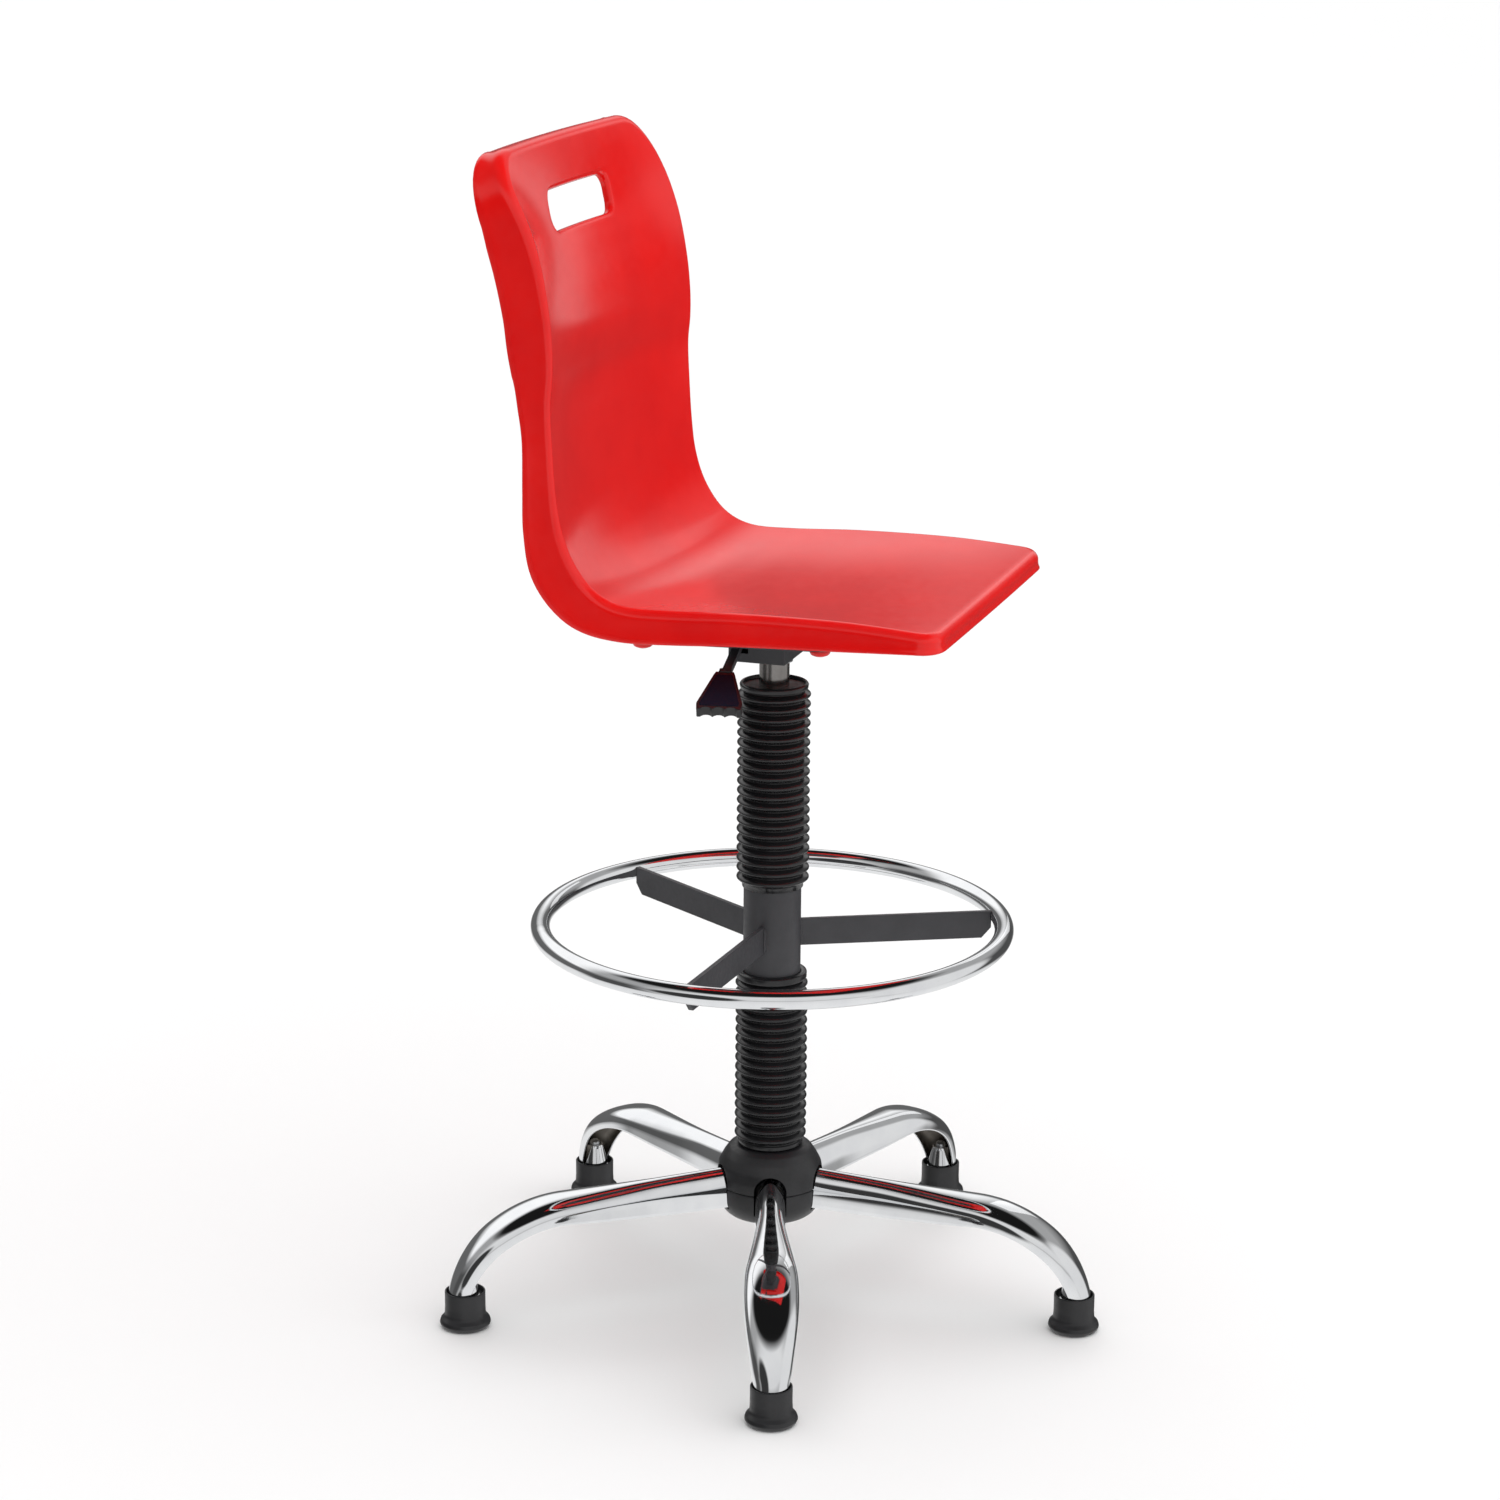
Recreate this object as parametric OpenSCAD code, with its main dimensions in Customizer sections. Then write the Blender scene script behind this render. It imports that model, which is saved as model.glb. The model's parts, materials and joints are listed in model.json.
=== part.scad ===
// Draughtsman's swivel chair: one-piece moulded shell on a gas-lift column with a
// footring and a five-leg base that stands on glides. Millimetres, +Z up.
// Origin: the point on the floor on the column's axis. The sitter faces -Y.

/* [Seat shell] */
// Height of the seat's side edge above the floor at the top of the lift
seat_h = 709; // [690:1:730]
// Width of the shell over its rolled side edges
shell_w = 382; // [370:1:394]
// Wall thickness of the shell
shell_wall = 4.5; // [3.5:0.5:5.5]
// Radius of the roll between the sitting face and the flange
edge_roll = 9; // [7:1:11]
// Width of the hand-hold slot
slot_w = 154; // [130:2:160]
// Corner radius at the top of the back
top_corner_r = 42; // [30:1:44]

/* [Seat mount] */
// Thickness of the seat plate
plate_t = 3; // [2:0.5:4]
// Half the sideways spacing of the shell's screws
screw_x = 100; // [90:1:104]
// Radius of the moulded bosses that take the screws
boss_r = 11; // [9:1:13]

/* [Column] */
// Travel of the gas lift
lift_travel = 125; // [90:5:130]
// Radius of the gas cylinder
cylinder_r = 14; // [13:0.5:15]
// Outer radius of the column tube
column_r = 25; // [24:0.5:26]
// Outer radius of the bellows' folds
bellows_r = 34; // [32:0.5:36]
// Number of folds in the upper bellows
upper_folds = 20; // [18:1:22]
// Number of folds in the lower bellows
lower_folds = 17; // [14:1:18]

/* [Footring] */
// Height of the footring's centre above the floor
ring_z = 367; // [360:1:374]
// Radius of the footring to the middle of its tube
ring_r = 217; // [200:1:225]
// Radius of the footring's tube
ring_tube_r = 9; // [8:0.5:10]
// Direction of the first spoke
spoke_angle = 56.4; // [50:0.1:62]

/* [Base] */
// Radius of the circle through the middle of the glides
foot_circle_r = 300; // [298:1:306]
// Thickness of the pressed steel legs
leg_wall = 2; // [1.5:0.5:2.5]
// Outer radius of the hub's covers
hub_cover_r = 50; // [49:1:53]

/* [Hidden] */
LEGS = 5;
$fn = 64;
eps = 0.01;

// Colours
RED = [0.85, 0.09, 0.09];
BLACK = [0.07, 0.07, 0.08];
DARK_STEEL = [0.22, 0.22, 0.24];
STEEL = [0.62, 0.63, 0.65];
CHROME = [0.82, 0.83, 0.85];

// Heights up the column
plate_z = seat_h - 53;
housing_z = plate_z - 30;
gaiter_top_z = housing_z - 24;
sleeve_top_z = ring_z + 39;
sleeve_bottom_z = ring_z - 44;
column_top_z = sleeve_top_z + 10;
column_bottom_z = 82;
hub_seam_z = 112;
hub_top_z = 152;
bearing_z = column_bottom_z + 10;
bearing_h = 8;
cylinder_lowest_z = 175;
cylinder_bottom_z = cylinder_lowest_z + lift_travel;
piston_z = cylinder_bottom_z + 18;
cylinder_top_z = plate_z - 22;

// ---- Small helpers -------------------------------------------------------

// Point k of a list, held at the list's ends
function held(list, k) = list[max(0, min(len(list) - 1, k))];

// Smooth curve through a list of vectors, at u counted in list steps
function smooth_at(list, u) =
    let (k = min(len(list) - 2, floor(u)), f = u - k)
    let (a = held(list, k - 1), b = list[k], c = list[k + 1], d = held(list, k + 2))
    0.5 * (2 * b + (c - a) * f + (2 * a - 5 * b + 4 * c - d) * f * f
        + (3 * b - a - 3 * c + d) * f * f * f);

// Depth of a round corner of radius r at distance x from the middle of an edge
function corner_drop(x, half, r) = let (q = max(0, min(r, x - half + r))) r - sqrt(r * r - q * q);

function unit(v) = v / norm(v);

module ring_tube(r_out, r_in, z0, z1) {
    translate([0, 0, z0])
        difference() {
            cylinder(r = r_out, h = z1 - z0);
            translate([0, 0, -1]) cylinder(r = r_in, h = z1 - z0 + 2);
        }
}

module at_leg(i) {
    rotate([0, 0, 198 + 72 * i]) children();
}

// ---- Seat shell ----------------------------------------------------------

// Side edge of the shell from the front of the seat to the top of the back:
// forward place, height over seat_h, depth of the dish in the middle, flange depth
SHELL_PROFILE = [
    [-197, -5, 1, 17], [-120, 0, 6, 25], [-30, 0, 10, 28], [40, -3, 11, 29],
    [82, -2, 11, 31], [109, 10, 11, 38], [128, 34, 11, 40], [139, 63, 11, 34],
    [144, 96, 12, 29], [147, 141, 14.5, 26], [148, 171, 16.5, 29], [146, 196, 14.8, 36],
    [146, 221, 13, 40], [149, 253, 14.5, 41], [156, 291, 21, 42], [166, 323, 24, 41],
    [178, 349, 17, 36], [189, 371, 9, 28], [196, 385, 5, 20]
];
last_u = len(SHELL_PROFILE) - 1;
slot_u0 = 14.75;
slot_u1 = 16.1;
shell_half = shell_w / 2 - edge_roll;
front_corner_r = 16;
flange_splay = 2;
dish_power = 2.2;

slot_t = slot_w / 2 / shell_half;
half_cols = [0.14, 0.28, slot_t, 0.53, 0.65, 0.77, 0.87, 0.94, 0.98, 1];
shell_cols = concat([for (k = [len(half_cols) - 1:-1:0]) -half_cols[k]], [0], half_cols);
shell_rows = concat(
    [0, 0.15], [for (u = [0.5:0.5:14]) u], [14.4],
    [for (k = [0:3]) slot_u0 + (slot_u1 - slot_u0) * k / 3], [16.5, 17, 17.5, last_u]
);
slot_row0 = search(slot_u0, shell_rows)[0];
slot_row1 = slot_row0 + 3;
slot_col0 = search(-slot_t, shell_cols)[0];
slot_col1 = search(slot_t, shell_cols)[0];
nr = len(shell_rows);
nc = len(shell_cols);

// Direction along the profile and the direction that faces the sitter
function along(u) =
    let (a = smooth_at(SHELL_PROFILE, max(0, u - 0.05)))
    let (b = smooth_at(SHELL_PROFILE, min(last_u, u + 0.05)))
    unit([0, b[0] - a[0], b[1] - a[1]]);
function facing(u) = let (t = along(u)) [0, -t[2], t[1]];

// Profile place of a grid point: the end rows follow the shell's rounded corners
function grid_u(j, t) =
    let (x = abs(t) * shell_half, u = shell_rows[j])
    let (front = corner_drop(x, shell_half, front_corner_r) / 77)
    let (top = (7 * t * t + corner_drop(x, shell_half, top_corner_r)) / 21)
    u + front * max(0, 1 - u / 5) - top * max(0, (u - 12) / (last_u - 12));

function sheet_point(j, t, depth) =
    let (u = grid_u(j, t), p = smooth_at(SHELL_PROFILE, u), n = facing(u))
    let (dish = p[2] * (1 - pow(abs(t), dish_power)))
    [t * shell_half, p[0], seat_h + p[1]] - n * (dish + depth);

// Border of the grid, once round: [row, column]
BORDER = concat(
    [for (i = [0:nc - 1]) [0, i]], [for (j = [1:nr - 1]) [j, nc - 1]],
    [for (i = [nc - 2:-1:0]) [nr - 1, i]], [for (j = [nr - 2:-1:1]) [j, 0]]
);
nb = len(BORDER);
ROLL_STEPS = 3;

// Outward direction at a border point, round the corners too
function outward(j, i) =
    let (t = shell_cols[i], x = abs(t) * shell_half, u = grid_u(j, t))
    let (r = j == 0 ? front_corner_r : top_corner_r)
    let (side = (j > 0 && j < nr - 1) ? 1 : max(0, min(1, (x - shell_half + r) / r)))
    let (end = j == 0 ? -1 : 1)
    [sign(t) * side, 0, 0] + along(u) * end * sqrt(1 - side * side);

// Point of the rolled edge and flange, k steps out from the border
function roll_point(b, k, depth) =
    let (j = BORDER[b][0], i = BORDER[b][1], t = shell_cols[i], u = grid_u(j, t))
    let (r = edge_roll - depth, a = 90 * min(1, k / ROLL_STEPS))
    let (flange = smooth_at(SHELL_PROFILE, u)[3])
    let (out = k > ROLL_STEPS ? r + flange_splay : r * sin(a))
    let (down = k > ROLL_STEPS ? flange - depth : r * (1 - cos(a)))
    sheet_point(j, t, depth) + outward(j, i) * out - facing(u) * down;

function layer_points(depth) = concat(
    [for (j = [0:nr - 1], i = [0:nc - 1]) sheet_point(j, shell_cols[i], depth)],
    [for (k = [1:ROLL_STEPS + 1], b = [0:nb - 1]) roll_point(b, k, depth)]
);

layer = nr * nc + (ROLL_STEPS + 1) * nb;
function grid_id(j, i) = j * nc + i;
function ring_id(k, b) =
    let (c = b % nb) k == 0 ? grid_id(BORDER[c][0], BORDER[c][1]) : nr * nc + (k - 1) * nb + c;
function in_slot(j, i) = j >= slot_row0 && j < slot_row1 && i >= slot_col0 && i < slot_col1;

// Faces of one layer, which is the sitting side at base 0; flip turns them over
function layer_faces(base, flip) = [
    for (j = [0:nr - 2], i = [0:nc - 2]) if (!in_slot(j, i)) let (c = grid_id(j, i))
        turned([c, c + nc, c + nc + 1, c + 1], base, flip),
    for (k = [0:ROLL_STEPS], b = [0:nb - 1])
        turned([ring_id(k, b), ring_id(k, b + 1), ring_id(k + 1, b + 1), ring_id(k + 1, b)], base, flip)
];
function turned(q, base, flip) = [for (k = [0:3]) q[flip ? 3 - k : k] + base];

// Border of the slot, once round: [row, column]
SLOT_BORDER = concat(
    [for (i = [slot_col0:slot_col1 - 1]) [slot_row0, i]],
    [for (j = [slot_row0:slot_row1 - 1]) [j, slot_col1]],
    [for (i = [slot_col1:-1:slot_col0 + 1]) [slot_row1, i]],
    [for (j = [slot_row1:-1:slot_row0 + 1]) [j, slot_col0]]
);
ns = len(SLOT_BORDER);
function slot_id(s) = let (c = s % ns) grid_id(SLOT_BORDER[c][0], SLOT_BORDER[c][1]);

// Face that joins an edge of the sitting side to the same edge of the under side
function across(a, b) = [a, b, b + layer, a + layer];

module shell_sheet() {
    tip = ROLL_STEPS + 1;
    rim = [for (b = [0:nb - 1]) across(ring_id(tip, b), ring_id(tip, b + 1))];
    walls = [for (s = [0:ns - 1]) across(slot_id(s + 1), slot_id(s))];
    polyhedron(
        points = concat(layer_points(0), layer_points(shell_wall)),
        faces = concat(layer_faces(0, false), layer_faces(layer, true), rim, walls)
    );
}

// Places of the screws front to back, and how far under seat_h each boss ends in the wall
screw_y = [93, -67];
boss_drop = [11.5, 9.5];
// The plate and its screws are closer together in front
front_inset = 22;
module at_screws(rows = [0, 1]) {
    for (side = [-1, 1], k = rows)
        translate([side * (screw_x - k * front_inset), screw_y[k], 0]) children();
}

// Moulded bosses under the seat stand on the seat plate
module seat_shell() {
    color(RED) {
        shell_sheet();
        for (k = [0, 1])
            at_screws([k]) ring_tube(boss_r, 3, plate_z + plate_t, seat_h - boss_drop[k]);
    }
}

// ---- Seat mount ----------------------------------------------------------

module shell_screws() {
    color(STEEL) at_screws() {
        translate([0, 0, plate_z - 3.4])
            rotate_extrude() polygon([[0, 0], [4.2, 0], [5.5, 1.2], [5.5, 3.4], [3, 3.4], [3, 27], [0, 27]]);
    }
}

// Push-on caps over the screw heads
module screw_caps() {
    color(RED) at_screws() translate([0, 0, plate_z - 6.5])
        rotate_extrude()
            polygon([[0, 0], [5, 0.6], [8, 2.2], [9.5, 4.6], [9.5, 6.5], [6.5, 6.5], [6.5, 2.4], [0, 2.4]]);
}

plate_size = [2 * screw_x + 24, 186];
plate_mid_y = 13;
module seat_plate() {
    color(DARK_STEEL) difference() {
        translate([0, plate_mid_y, plate_z])
            linear_extrude(plate_t) plate_outline(plate_size, front_inset, 14);
        at_screws() translate([0, 0, plate_z - 1]) cylinder(r = 3.2, h = plate_t + 2);
    }
}

// Points of an arc about a corner, from angle a0 to angle a1
function corner_arc(middle, r, a0, a1) = [
    for (k = [0:8]) let (a = a0 + (a1 - a0) * k / 8) middle + r * [cos(a), sin(a)]
];

// Trapezoid with round corners: inset is how much narrower each side is in front
module plate_outline(size, inset, r) {
    rear = [size[0] / 2 - r, size[1] / 2 - r];
    front = [rear[0] - inset, -rear[1]];
    slant = atan(inset / (2 * rear[1]));
    half = concat(corner_arc(rear, r, 90, -slant), corner_arc(front, r, -slant, -90));
    polygon(concat(half, [for (k = [len(half) - 1:-1:0]) [-half[k][0], half[k][1]]]));
}

module rod_along_y(r, h) {
    rotate([90, 0, 0]) cylinder(r = r, h = h, center = true);
}

// Pressed housing under the plate: walls along its four sides and a floor
housing_x = 33;
housing_y = [-20, 34];
lever_x = -22;
lever_y = 27;
lever_z = housing_z + 14.5;
pin_r = 1.5;
socket_r = 17;
taper_drop = 0.8;
module lever_housing() {
    wall = 2.5;
    length = housing_y[1] - housing_y[0];
    mid_y = (housing_y[0] + housing_y[1]) / 2;
    color(DARK_STEEL) difference() {
        translate([-housing_x, housing_y[0], housing_z]) cube([2 * housing_x, length, plate_z - housing_z]);
        translate([-housing_x + wall, housing_y[0] + wall, housing_z + wall])
            cube([2 * (housing_x - wall), length - 2 * wall, plate_z - housing_z]);
        translate([0, 0, housing_z - 1]) cylinder(r = socket_r, h = wall + 2);
        translate([-housing_x - 1, lever_y - 12, lever_z - 6]) cube([wall + 2, 16, 14]);
        translate([lever_x, mid_y, lever_z]) rod_along_y(pin_r, length + 2);
    }
}

// Steel bush that holds the cylinder's tapered end
module taper_socket() {
    color(STEEL) difference() {
        translate([0, 0, housing_z - 4]) cylinder(r = socket_r, h = cylinder_top_z - housing_z + 2);
        translate([0, 0, housing_z - 5]) rotate_extrude() polygon([
            [0, 0], [cylinder_r, 0], [cylinder_r, 5], [cylinder_r - taper_drop, 15], [0, 15]
        ]);
    }
}

module lever_pin() {
    color(STEEL) translate([lever_x, (housing_y[0] + housing_y[1]) / 2, lever_z])
        rod_along_y(pin_r, housing_y[1] - housing_y[0] + 1);
}

// Bent flat lever: from the release button past the pin and out under the seat
lever_t = 6;
lever_w = 8;
nose_r = 3;
lever_heading = 12;
lever_out = 121;
grip_start = 112;
grip_socket = 9;
grip_slope = 21;
module lever_rod() {
    color(BLACK) difference() {
        union() {
            translate([0, 0, lever_z - lever_t / 2]) linear_extrude(lever_t) lever_outline();
            translate([lever_x, lever_y - 3, lever_z]) rod_along_y(4, 12);
            translate([0, 0, lever_z - 0.2]) rod_along_y(nose_r, lever_w);
        }
        translate([lever_x, lever_y - 3, lever_z]) rod_along_y(pin_r + 0.05, 40);
    }
}

module lever_outline() {
    translate([lever_x, lever_y]) rotate(180 + lever_heading)
        translate([0, -lever_w / 2]) square([lever_out, lever_w]);
    polygon([
        [0, -lever_w / 2], [0, lever_w / 2], [lever_x + 4, lever_y + 4],
        [lever_x - 4, lever_y + 4], [lever_x - 4, lever_y - 5]
    ]);
}

// Moulded grip on the lever's end: a level socket, then a blade that slopes down
module lever_grip() {
    color(BLACK) difference() {
        translate([lever_x, lever_y, lever_z]) rotate([0, 0, 180 + lever_heading])
            translate([grip_start, 0, 0]) {
                translate([0, -5.5, -5]) cube([grip_socket + 1, 11, 10]);
                translate([grip_socket, 0, 0]) rotate([0, grip_slope, 0]) translate([0, 0, -5])
                    linear_extrude(9) grip_outline();
            }
        translate([0, 0, lever_z - lever_t / 2]) linear_extrude(lever_t) lever_outline();
    }
}

// Blade with three shallow finger hollows along its end
module grip_outline() {
    difference() {
        polygon([
            [-1, -8], [3, -9.4], [47, -20.5], [55, -19],
            [55, 19], [47, 20.5], [3, 9.4], [-1, 8]
        ]);
        for (y = [-11, 0, 11]) translate([58.8, y]) circle(r = 6);
    }
}

// ---- Gas lift ------------------------------------------------------------

button_r = 3;
button_bore_r = button_r + 0.05;
module release_button() {
    low = cylinder_top_z - 12;
    top = lever_z - nose_r - 0.4;
    color(STEEL) translate([0, 0, low]) cylinder(r = button_r, h = top - low);
}

// Pressure tube, tapered at the top where it seats in the socket
cylinder_wall = 2;
module gas_cylinder() {
    bore = cylinder_r - cylinder_wall;
    length = housing_z - cylinder_bottom_z;
    color(DARK_STEEL) difference() {
        translate([0, 0, cylinder_bottom_z]) cylinder(r = cylinder_r, h = length + eps);
        translate([0, 0, cylinder_bottom_z - 1]) cylinder(r = bore, h = length - 29);
        translate([0, 0, housing_z - 31]) cylinder(r = button_bore_r, h = 40);
    }
    color(STEEL) translate([0, 0, housing_z]) rotate_extrude() polygon([
        [button_bore_r, 0], [cylinder_r, 0],
        [cylinder_r - taper_drop, cylinder_top_z - housing_z], [button_bore_r, cylinder_top_z - housing_z]
    ]);
}

rod_r = 5;
spigot_r = 3.95;
module rod_guide() {
    low = cylinder_bottom_z + 2;
    color(BLACK) ring_tube(cylinder_r - cylinder_wall, rod_r + 0.05, low, low + 12);
}

// Collar on the cylinder that carries the top of the upper bellows
module bellows_ring() {
    color(BLACK) ring_tube(bellows_r - 5, cylinder_r, gaiter_top_z - 7, gaiter_top_z - 3);
}

piston_h = 12;
module piston() {
    color(STEEL) ring_tube(cylinder_r - cylinder_wall - 0.05, rod_r, piston_z, piston_z + piston_h);
}

// Rod from the clip under the column's floor up to the piston
module piston_rod() {
    low = column_bottom_z + 1;
    step = bearing_z + bearing_h;
    top = piston_z + piston_h;
    color(STEEL) rotate_extrude()
        polygon([[0, low], [spigot_r, low], [spigot_r, step], [rod_r, step], [rod_r, top], [0, top]]);
}

// Thrust bearing between the column's floor and the step in the rod
race_r = 12;
race_t = 2;
module lower_race() {
    color(STEEL) ring_tube(race_r, 4.2, bearing_z, bearing_z + race_t);
}

module upper_race() {
    color(STEEL) ring_tube(race_r, spigot_r, bearing_z + bearing_h - race_t, bearing_z + bearing_h);
}

module bearing_balls() {
    color(CHROME) for (k = [0:7]) rotate([0, 0, 45 * k])
        translate([8.5, 0, bearing_z + bearing_h / 2]) sphere(r = 1.97);
}

// Steel tube with a welded floor that carries the bearing
column_wall = 2;
module column_tube() {
    bore = column_r - column_wall;
    color(DARK_STEEL) difference() {
        translate([0, 0, column_bottom_z]) cylinder(r = column_r, h = column_top_z - column_bottom_z);
        translate([0, 0, bearing_z]) cylinder(r = bore, h = column_top_z);
        translate([0, 0, column_bottom_z - 1]) cylinder(r = bore, h = 7);
        translate([0, 0, column_bottom_z]) cylinder(r = spigot_r + 0.1, h = 20);
    }
}

module column_bush() {
    color(BLACK) ring_tube(column_r - column_wall, cylinder_r + 0.05, column_top_z - 70, column_top_z);
}

module rod_washer() {
    color(STEEL) ring_tube(9, spigot_r + 0.1, column_bottom_z + 4.4, column_bottom_z + 5.8);
}

module rod_clip() {
    color(STEEL) difference() {
        ring_tube(7.5, spigot_r, column_bottom_z + 2.8, column_bottom_z + 4.2);
        translate([2, -1.8, column_bottom_z]) cube([8, 3.6, 8]);
    }
}

// ---- Bellows -------------------------------------------------------------

bellows_wall = 1.4;
valley_r = bellows_r - 5;

// One side of the folded wall, as [radius, height] pairs going up
function folds(n, z0, z1, inset) = [
    for (k = [0:n - 1]) each
        let (p = (z1 - z0) / n, z = z0 + k * p)
        [[valley_r - inset, z], [bellows_r - inset, z + 0.3 * p], [bellows_r - inset, z + 0.7 * p]],
    [valley_r - inset, z1]
];
function backwards(list) = [for (k = [len(list) - 1:-1:0]) list[k]];

module folded_tube(n, z0, z1) {
    rotate_extrude() polygon(concat(folds(n, z0, z1, 0), backwards(folds(n, z0, z1, bellows_wall))));
}

cuff = 8;
module upper_bellows() {
    cuff_z = gaiter_top_z - cuff;
    color(BLACK) {
        ring_tube(valley_r, column_r, sleeve_top_z, sleeve_top_z + 4);
        folded_tube(upper_folds, sleeve_top_z + 4, cuff_z - bellows_wall);
        ring_tube(bellows_r - 1, valley_r - bellows_wall, cuff_z - bellows_wall, cuff_z);
        ring_tube(bellows_r - 1, bellows_r - 4.7, cuff_z, gaiter_top_z);
    }
}

module lower_bellows() {
    color(BLACK) {
        ring_tube(valley_r + 2, column_r, hub_top_z - 1, hub_top_z + 4);
        folded_tube(lower_folds, hub_top_z + 4, sleeve_bottom_z - cuff);
        ring_tube(bellows_r, column_r, sleeve_bottom_z - cuff, sleeve_bottom_z);
    }
}

// ---- Footring ------------------------------------------------------------

sleeve_r = column_r + 2;
module footring() {
    color(CHROME) translate([0, 0, ring_z]) rotate_extrude($fn = 128) translate([ring_r, 0]) difference() {
        circle(r = ring_tube_r);
        circle(r = ring_tube_r - 1.5);
    }
}

module footring_sleeve() {
    color(DARK_STEEL) ring_tube(sleeve_r, column_r, sleeve_bottom_z, sleeve_top_z);
}

// Flat bar on edge from the sleeve to the inside of the ring
spoke_t = 5;
module spoke(i) {
    inner = sleeve_r - 0.1;
    outer = ring_r - ring_tube_r + 1;
    low = ring_z - 21;
    top = low + 26;
    color(DARK_STEEL) rotate([0, 0, spoke_angle + 120 * (i - 1)]) rotate([90, 0, 0])
        translate([0, 0, -spoke_t / 2]) linear_extrude(spoke_t) difference() {
            polygon([[inner, low], [outer - 9, low], [outer, low + 10], [outer, top], [inner, top]]);
            translate([ring_r, ring_z]) circle(r = ring_tube_r);
        }
}

// ---- Five-leg base -------------------------------------------------------

core_r = column_r + 5;
module hub_core() {
    color(DARK_STEEL) ring_tube(core_r, column_r, hub_seam_z - 26, hub_seam_z + 26);
}

// Cut for one leg through the covers: a slot with a round head
module leg_cut(half, low, high) {
    translate([core_r, -half, low]) cube([40, 2 * half, high - half - low]);
    translate([core_r, 0, high - half]) rotate([0, 90, 0]) cylinder(r = half, h = 40);
}

module all_leg_cuts() {
    for (i = [1:LEGS]) at_leg(i) leg_cut(15.4, 90, 131.5);
}

module hub_cover() {
    r = hub_cover_r;
    color(BLACK) difference() {
        rotate_extrude() polygon([
            [column_r, hub_top_z - 2], [34, hub_top_z - 2], [40, hub_top_z - 5],
            [r - 4, hub_top_z - 13], [r - 1, hub_top_z - 22], [r, hub_seam_z + 6], [r, hub_seam_z],
            [r - 3, hub_seam_z], [r - 3, hub_seam_z + 16], [r - 8, hub_top_z - 13],
            [36, hub_top_z - 6], [column_r, hub_top_z - 6]
        ]);
        all_leg_cuts();
    }
}

module hub_cap() {
    r = hub_cover_r;
    color(BLACK) difference() {
        rotate_extrude() polygon([
            [0, 78], [r - 20, 78], [r - 9, 81.5], [r - 2.6, 88.4], [r, 98], [r, hub_seam_z - 0.3],
            [r - 3, hub_seam_z - 0.3], [r - 3, 99], [r - 5.4, 91.3], [r - 12, 84.2], [r - 20.5, 81], [0, 81]
        ]);
        all_leg_cuts();
    }
}

// Line along the top of a leg: it falls gently to the knee, bends down, and ends
// nearly upright inside the glide's collar. Angles are below level.
fall = 3;
knee_turn = 35;
shin_turn = 80;
knee_r = 140;
knee_start = [foot_circle_r - 98, 120.6];
leg_end = foot_circle_r + 16.5;
function arc_point(from, r, a0, a) = from + r * [sin(a) - sin(a0), cos(a) - cos(a0)];
knee_end = arc_point(knee_start, knee_r, fall, knee_turn);
shin_r = (leg_end - knee_end[0]) / (sin(shin_turn) - sin(knee_turn));

// Steps along the leg: [distance out, heading]
notch = 6;
LEG_STEPS = concat(
    [for (x = [core_r - notch, 60, 95, 130, 165]) [x, fall]],
    [for (k = [0:4]) [knee_start[0], fall + k * (knee_turn - fall) / 4]],
    [for (k = [1:6]) [knee_start[0], knee_turn + k * (shin_turn - knee_turn) / 6]]
);

function leg_top(step) =
    let (x = step[0], a = step[1])
    x < knee_start[0] ? [x, knee_start[1] + (knee_start[0] - x) * tan(fall)]
    : a <= knee_turn ? arc_point(knee_start, knee_r, fall, a)
    : arc_point(knee_end, shin_r, knee_turn, a);

// The leg's section by distance out from the glide's middle: half its width, the
// depth of its arched top, its whole depth, and the arch's squareness (1 is an ellipse)
LEG_HALF_W = [
    [-270, 14], [-185, 14.5], [-150, 17.5], [-120, 20.5], [-78, 24.7], [-38, 25.2],
    [-8, 22.5], [10, 18.6], [14.5, 16.2], [16.5, 16.2]
];
LEG_CROWN = [[-270, 14], [-150, 15], [-60, 16], [-8, 17], [14.5, 16.2], [16.5, 16.2]];
LEG_DEPTH = [[-270, 36], [-190, 33], [-110, 28], [-40, 28], [-8, 26], [14.5, 19], [16.5, 18]];
LEG_SQUARE = [[-240, 1], [-120, 0.8], [-8, 0.8], [14.5, 1]];
ARCH_STEPS = 5;

// Point k of the wall across the leg, inset from the outside: the arch, then a free edge
function arch_point(step, k, inset) =
    let (top = leg_top(step), out = top[0] - foot_circle_r, p = lookup(out, LEG_SQUARE))
    let (w = lookup(out, LEG_HALF_W) - inset, c = lookup(out, LEG_CROWN) - inset)
    let (a = 90 * min(1, abs(k) / ARCH_STEPS), free = abs(k) > ARCH_STEPS)
    let (q = free ? lookup(out, LEG_DEPTH) : inset + c * (1 - pow(max(0, cos(a)), p)))
    [top[0] - q * sin(step[1]), sign(k) * w * pow(sin(a), p), top[1] - q * cos(step[1])];

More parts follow.
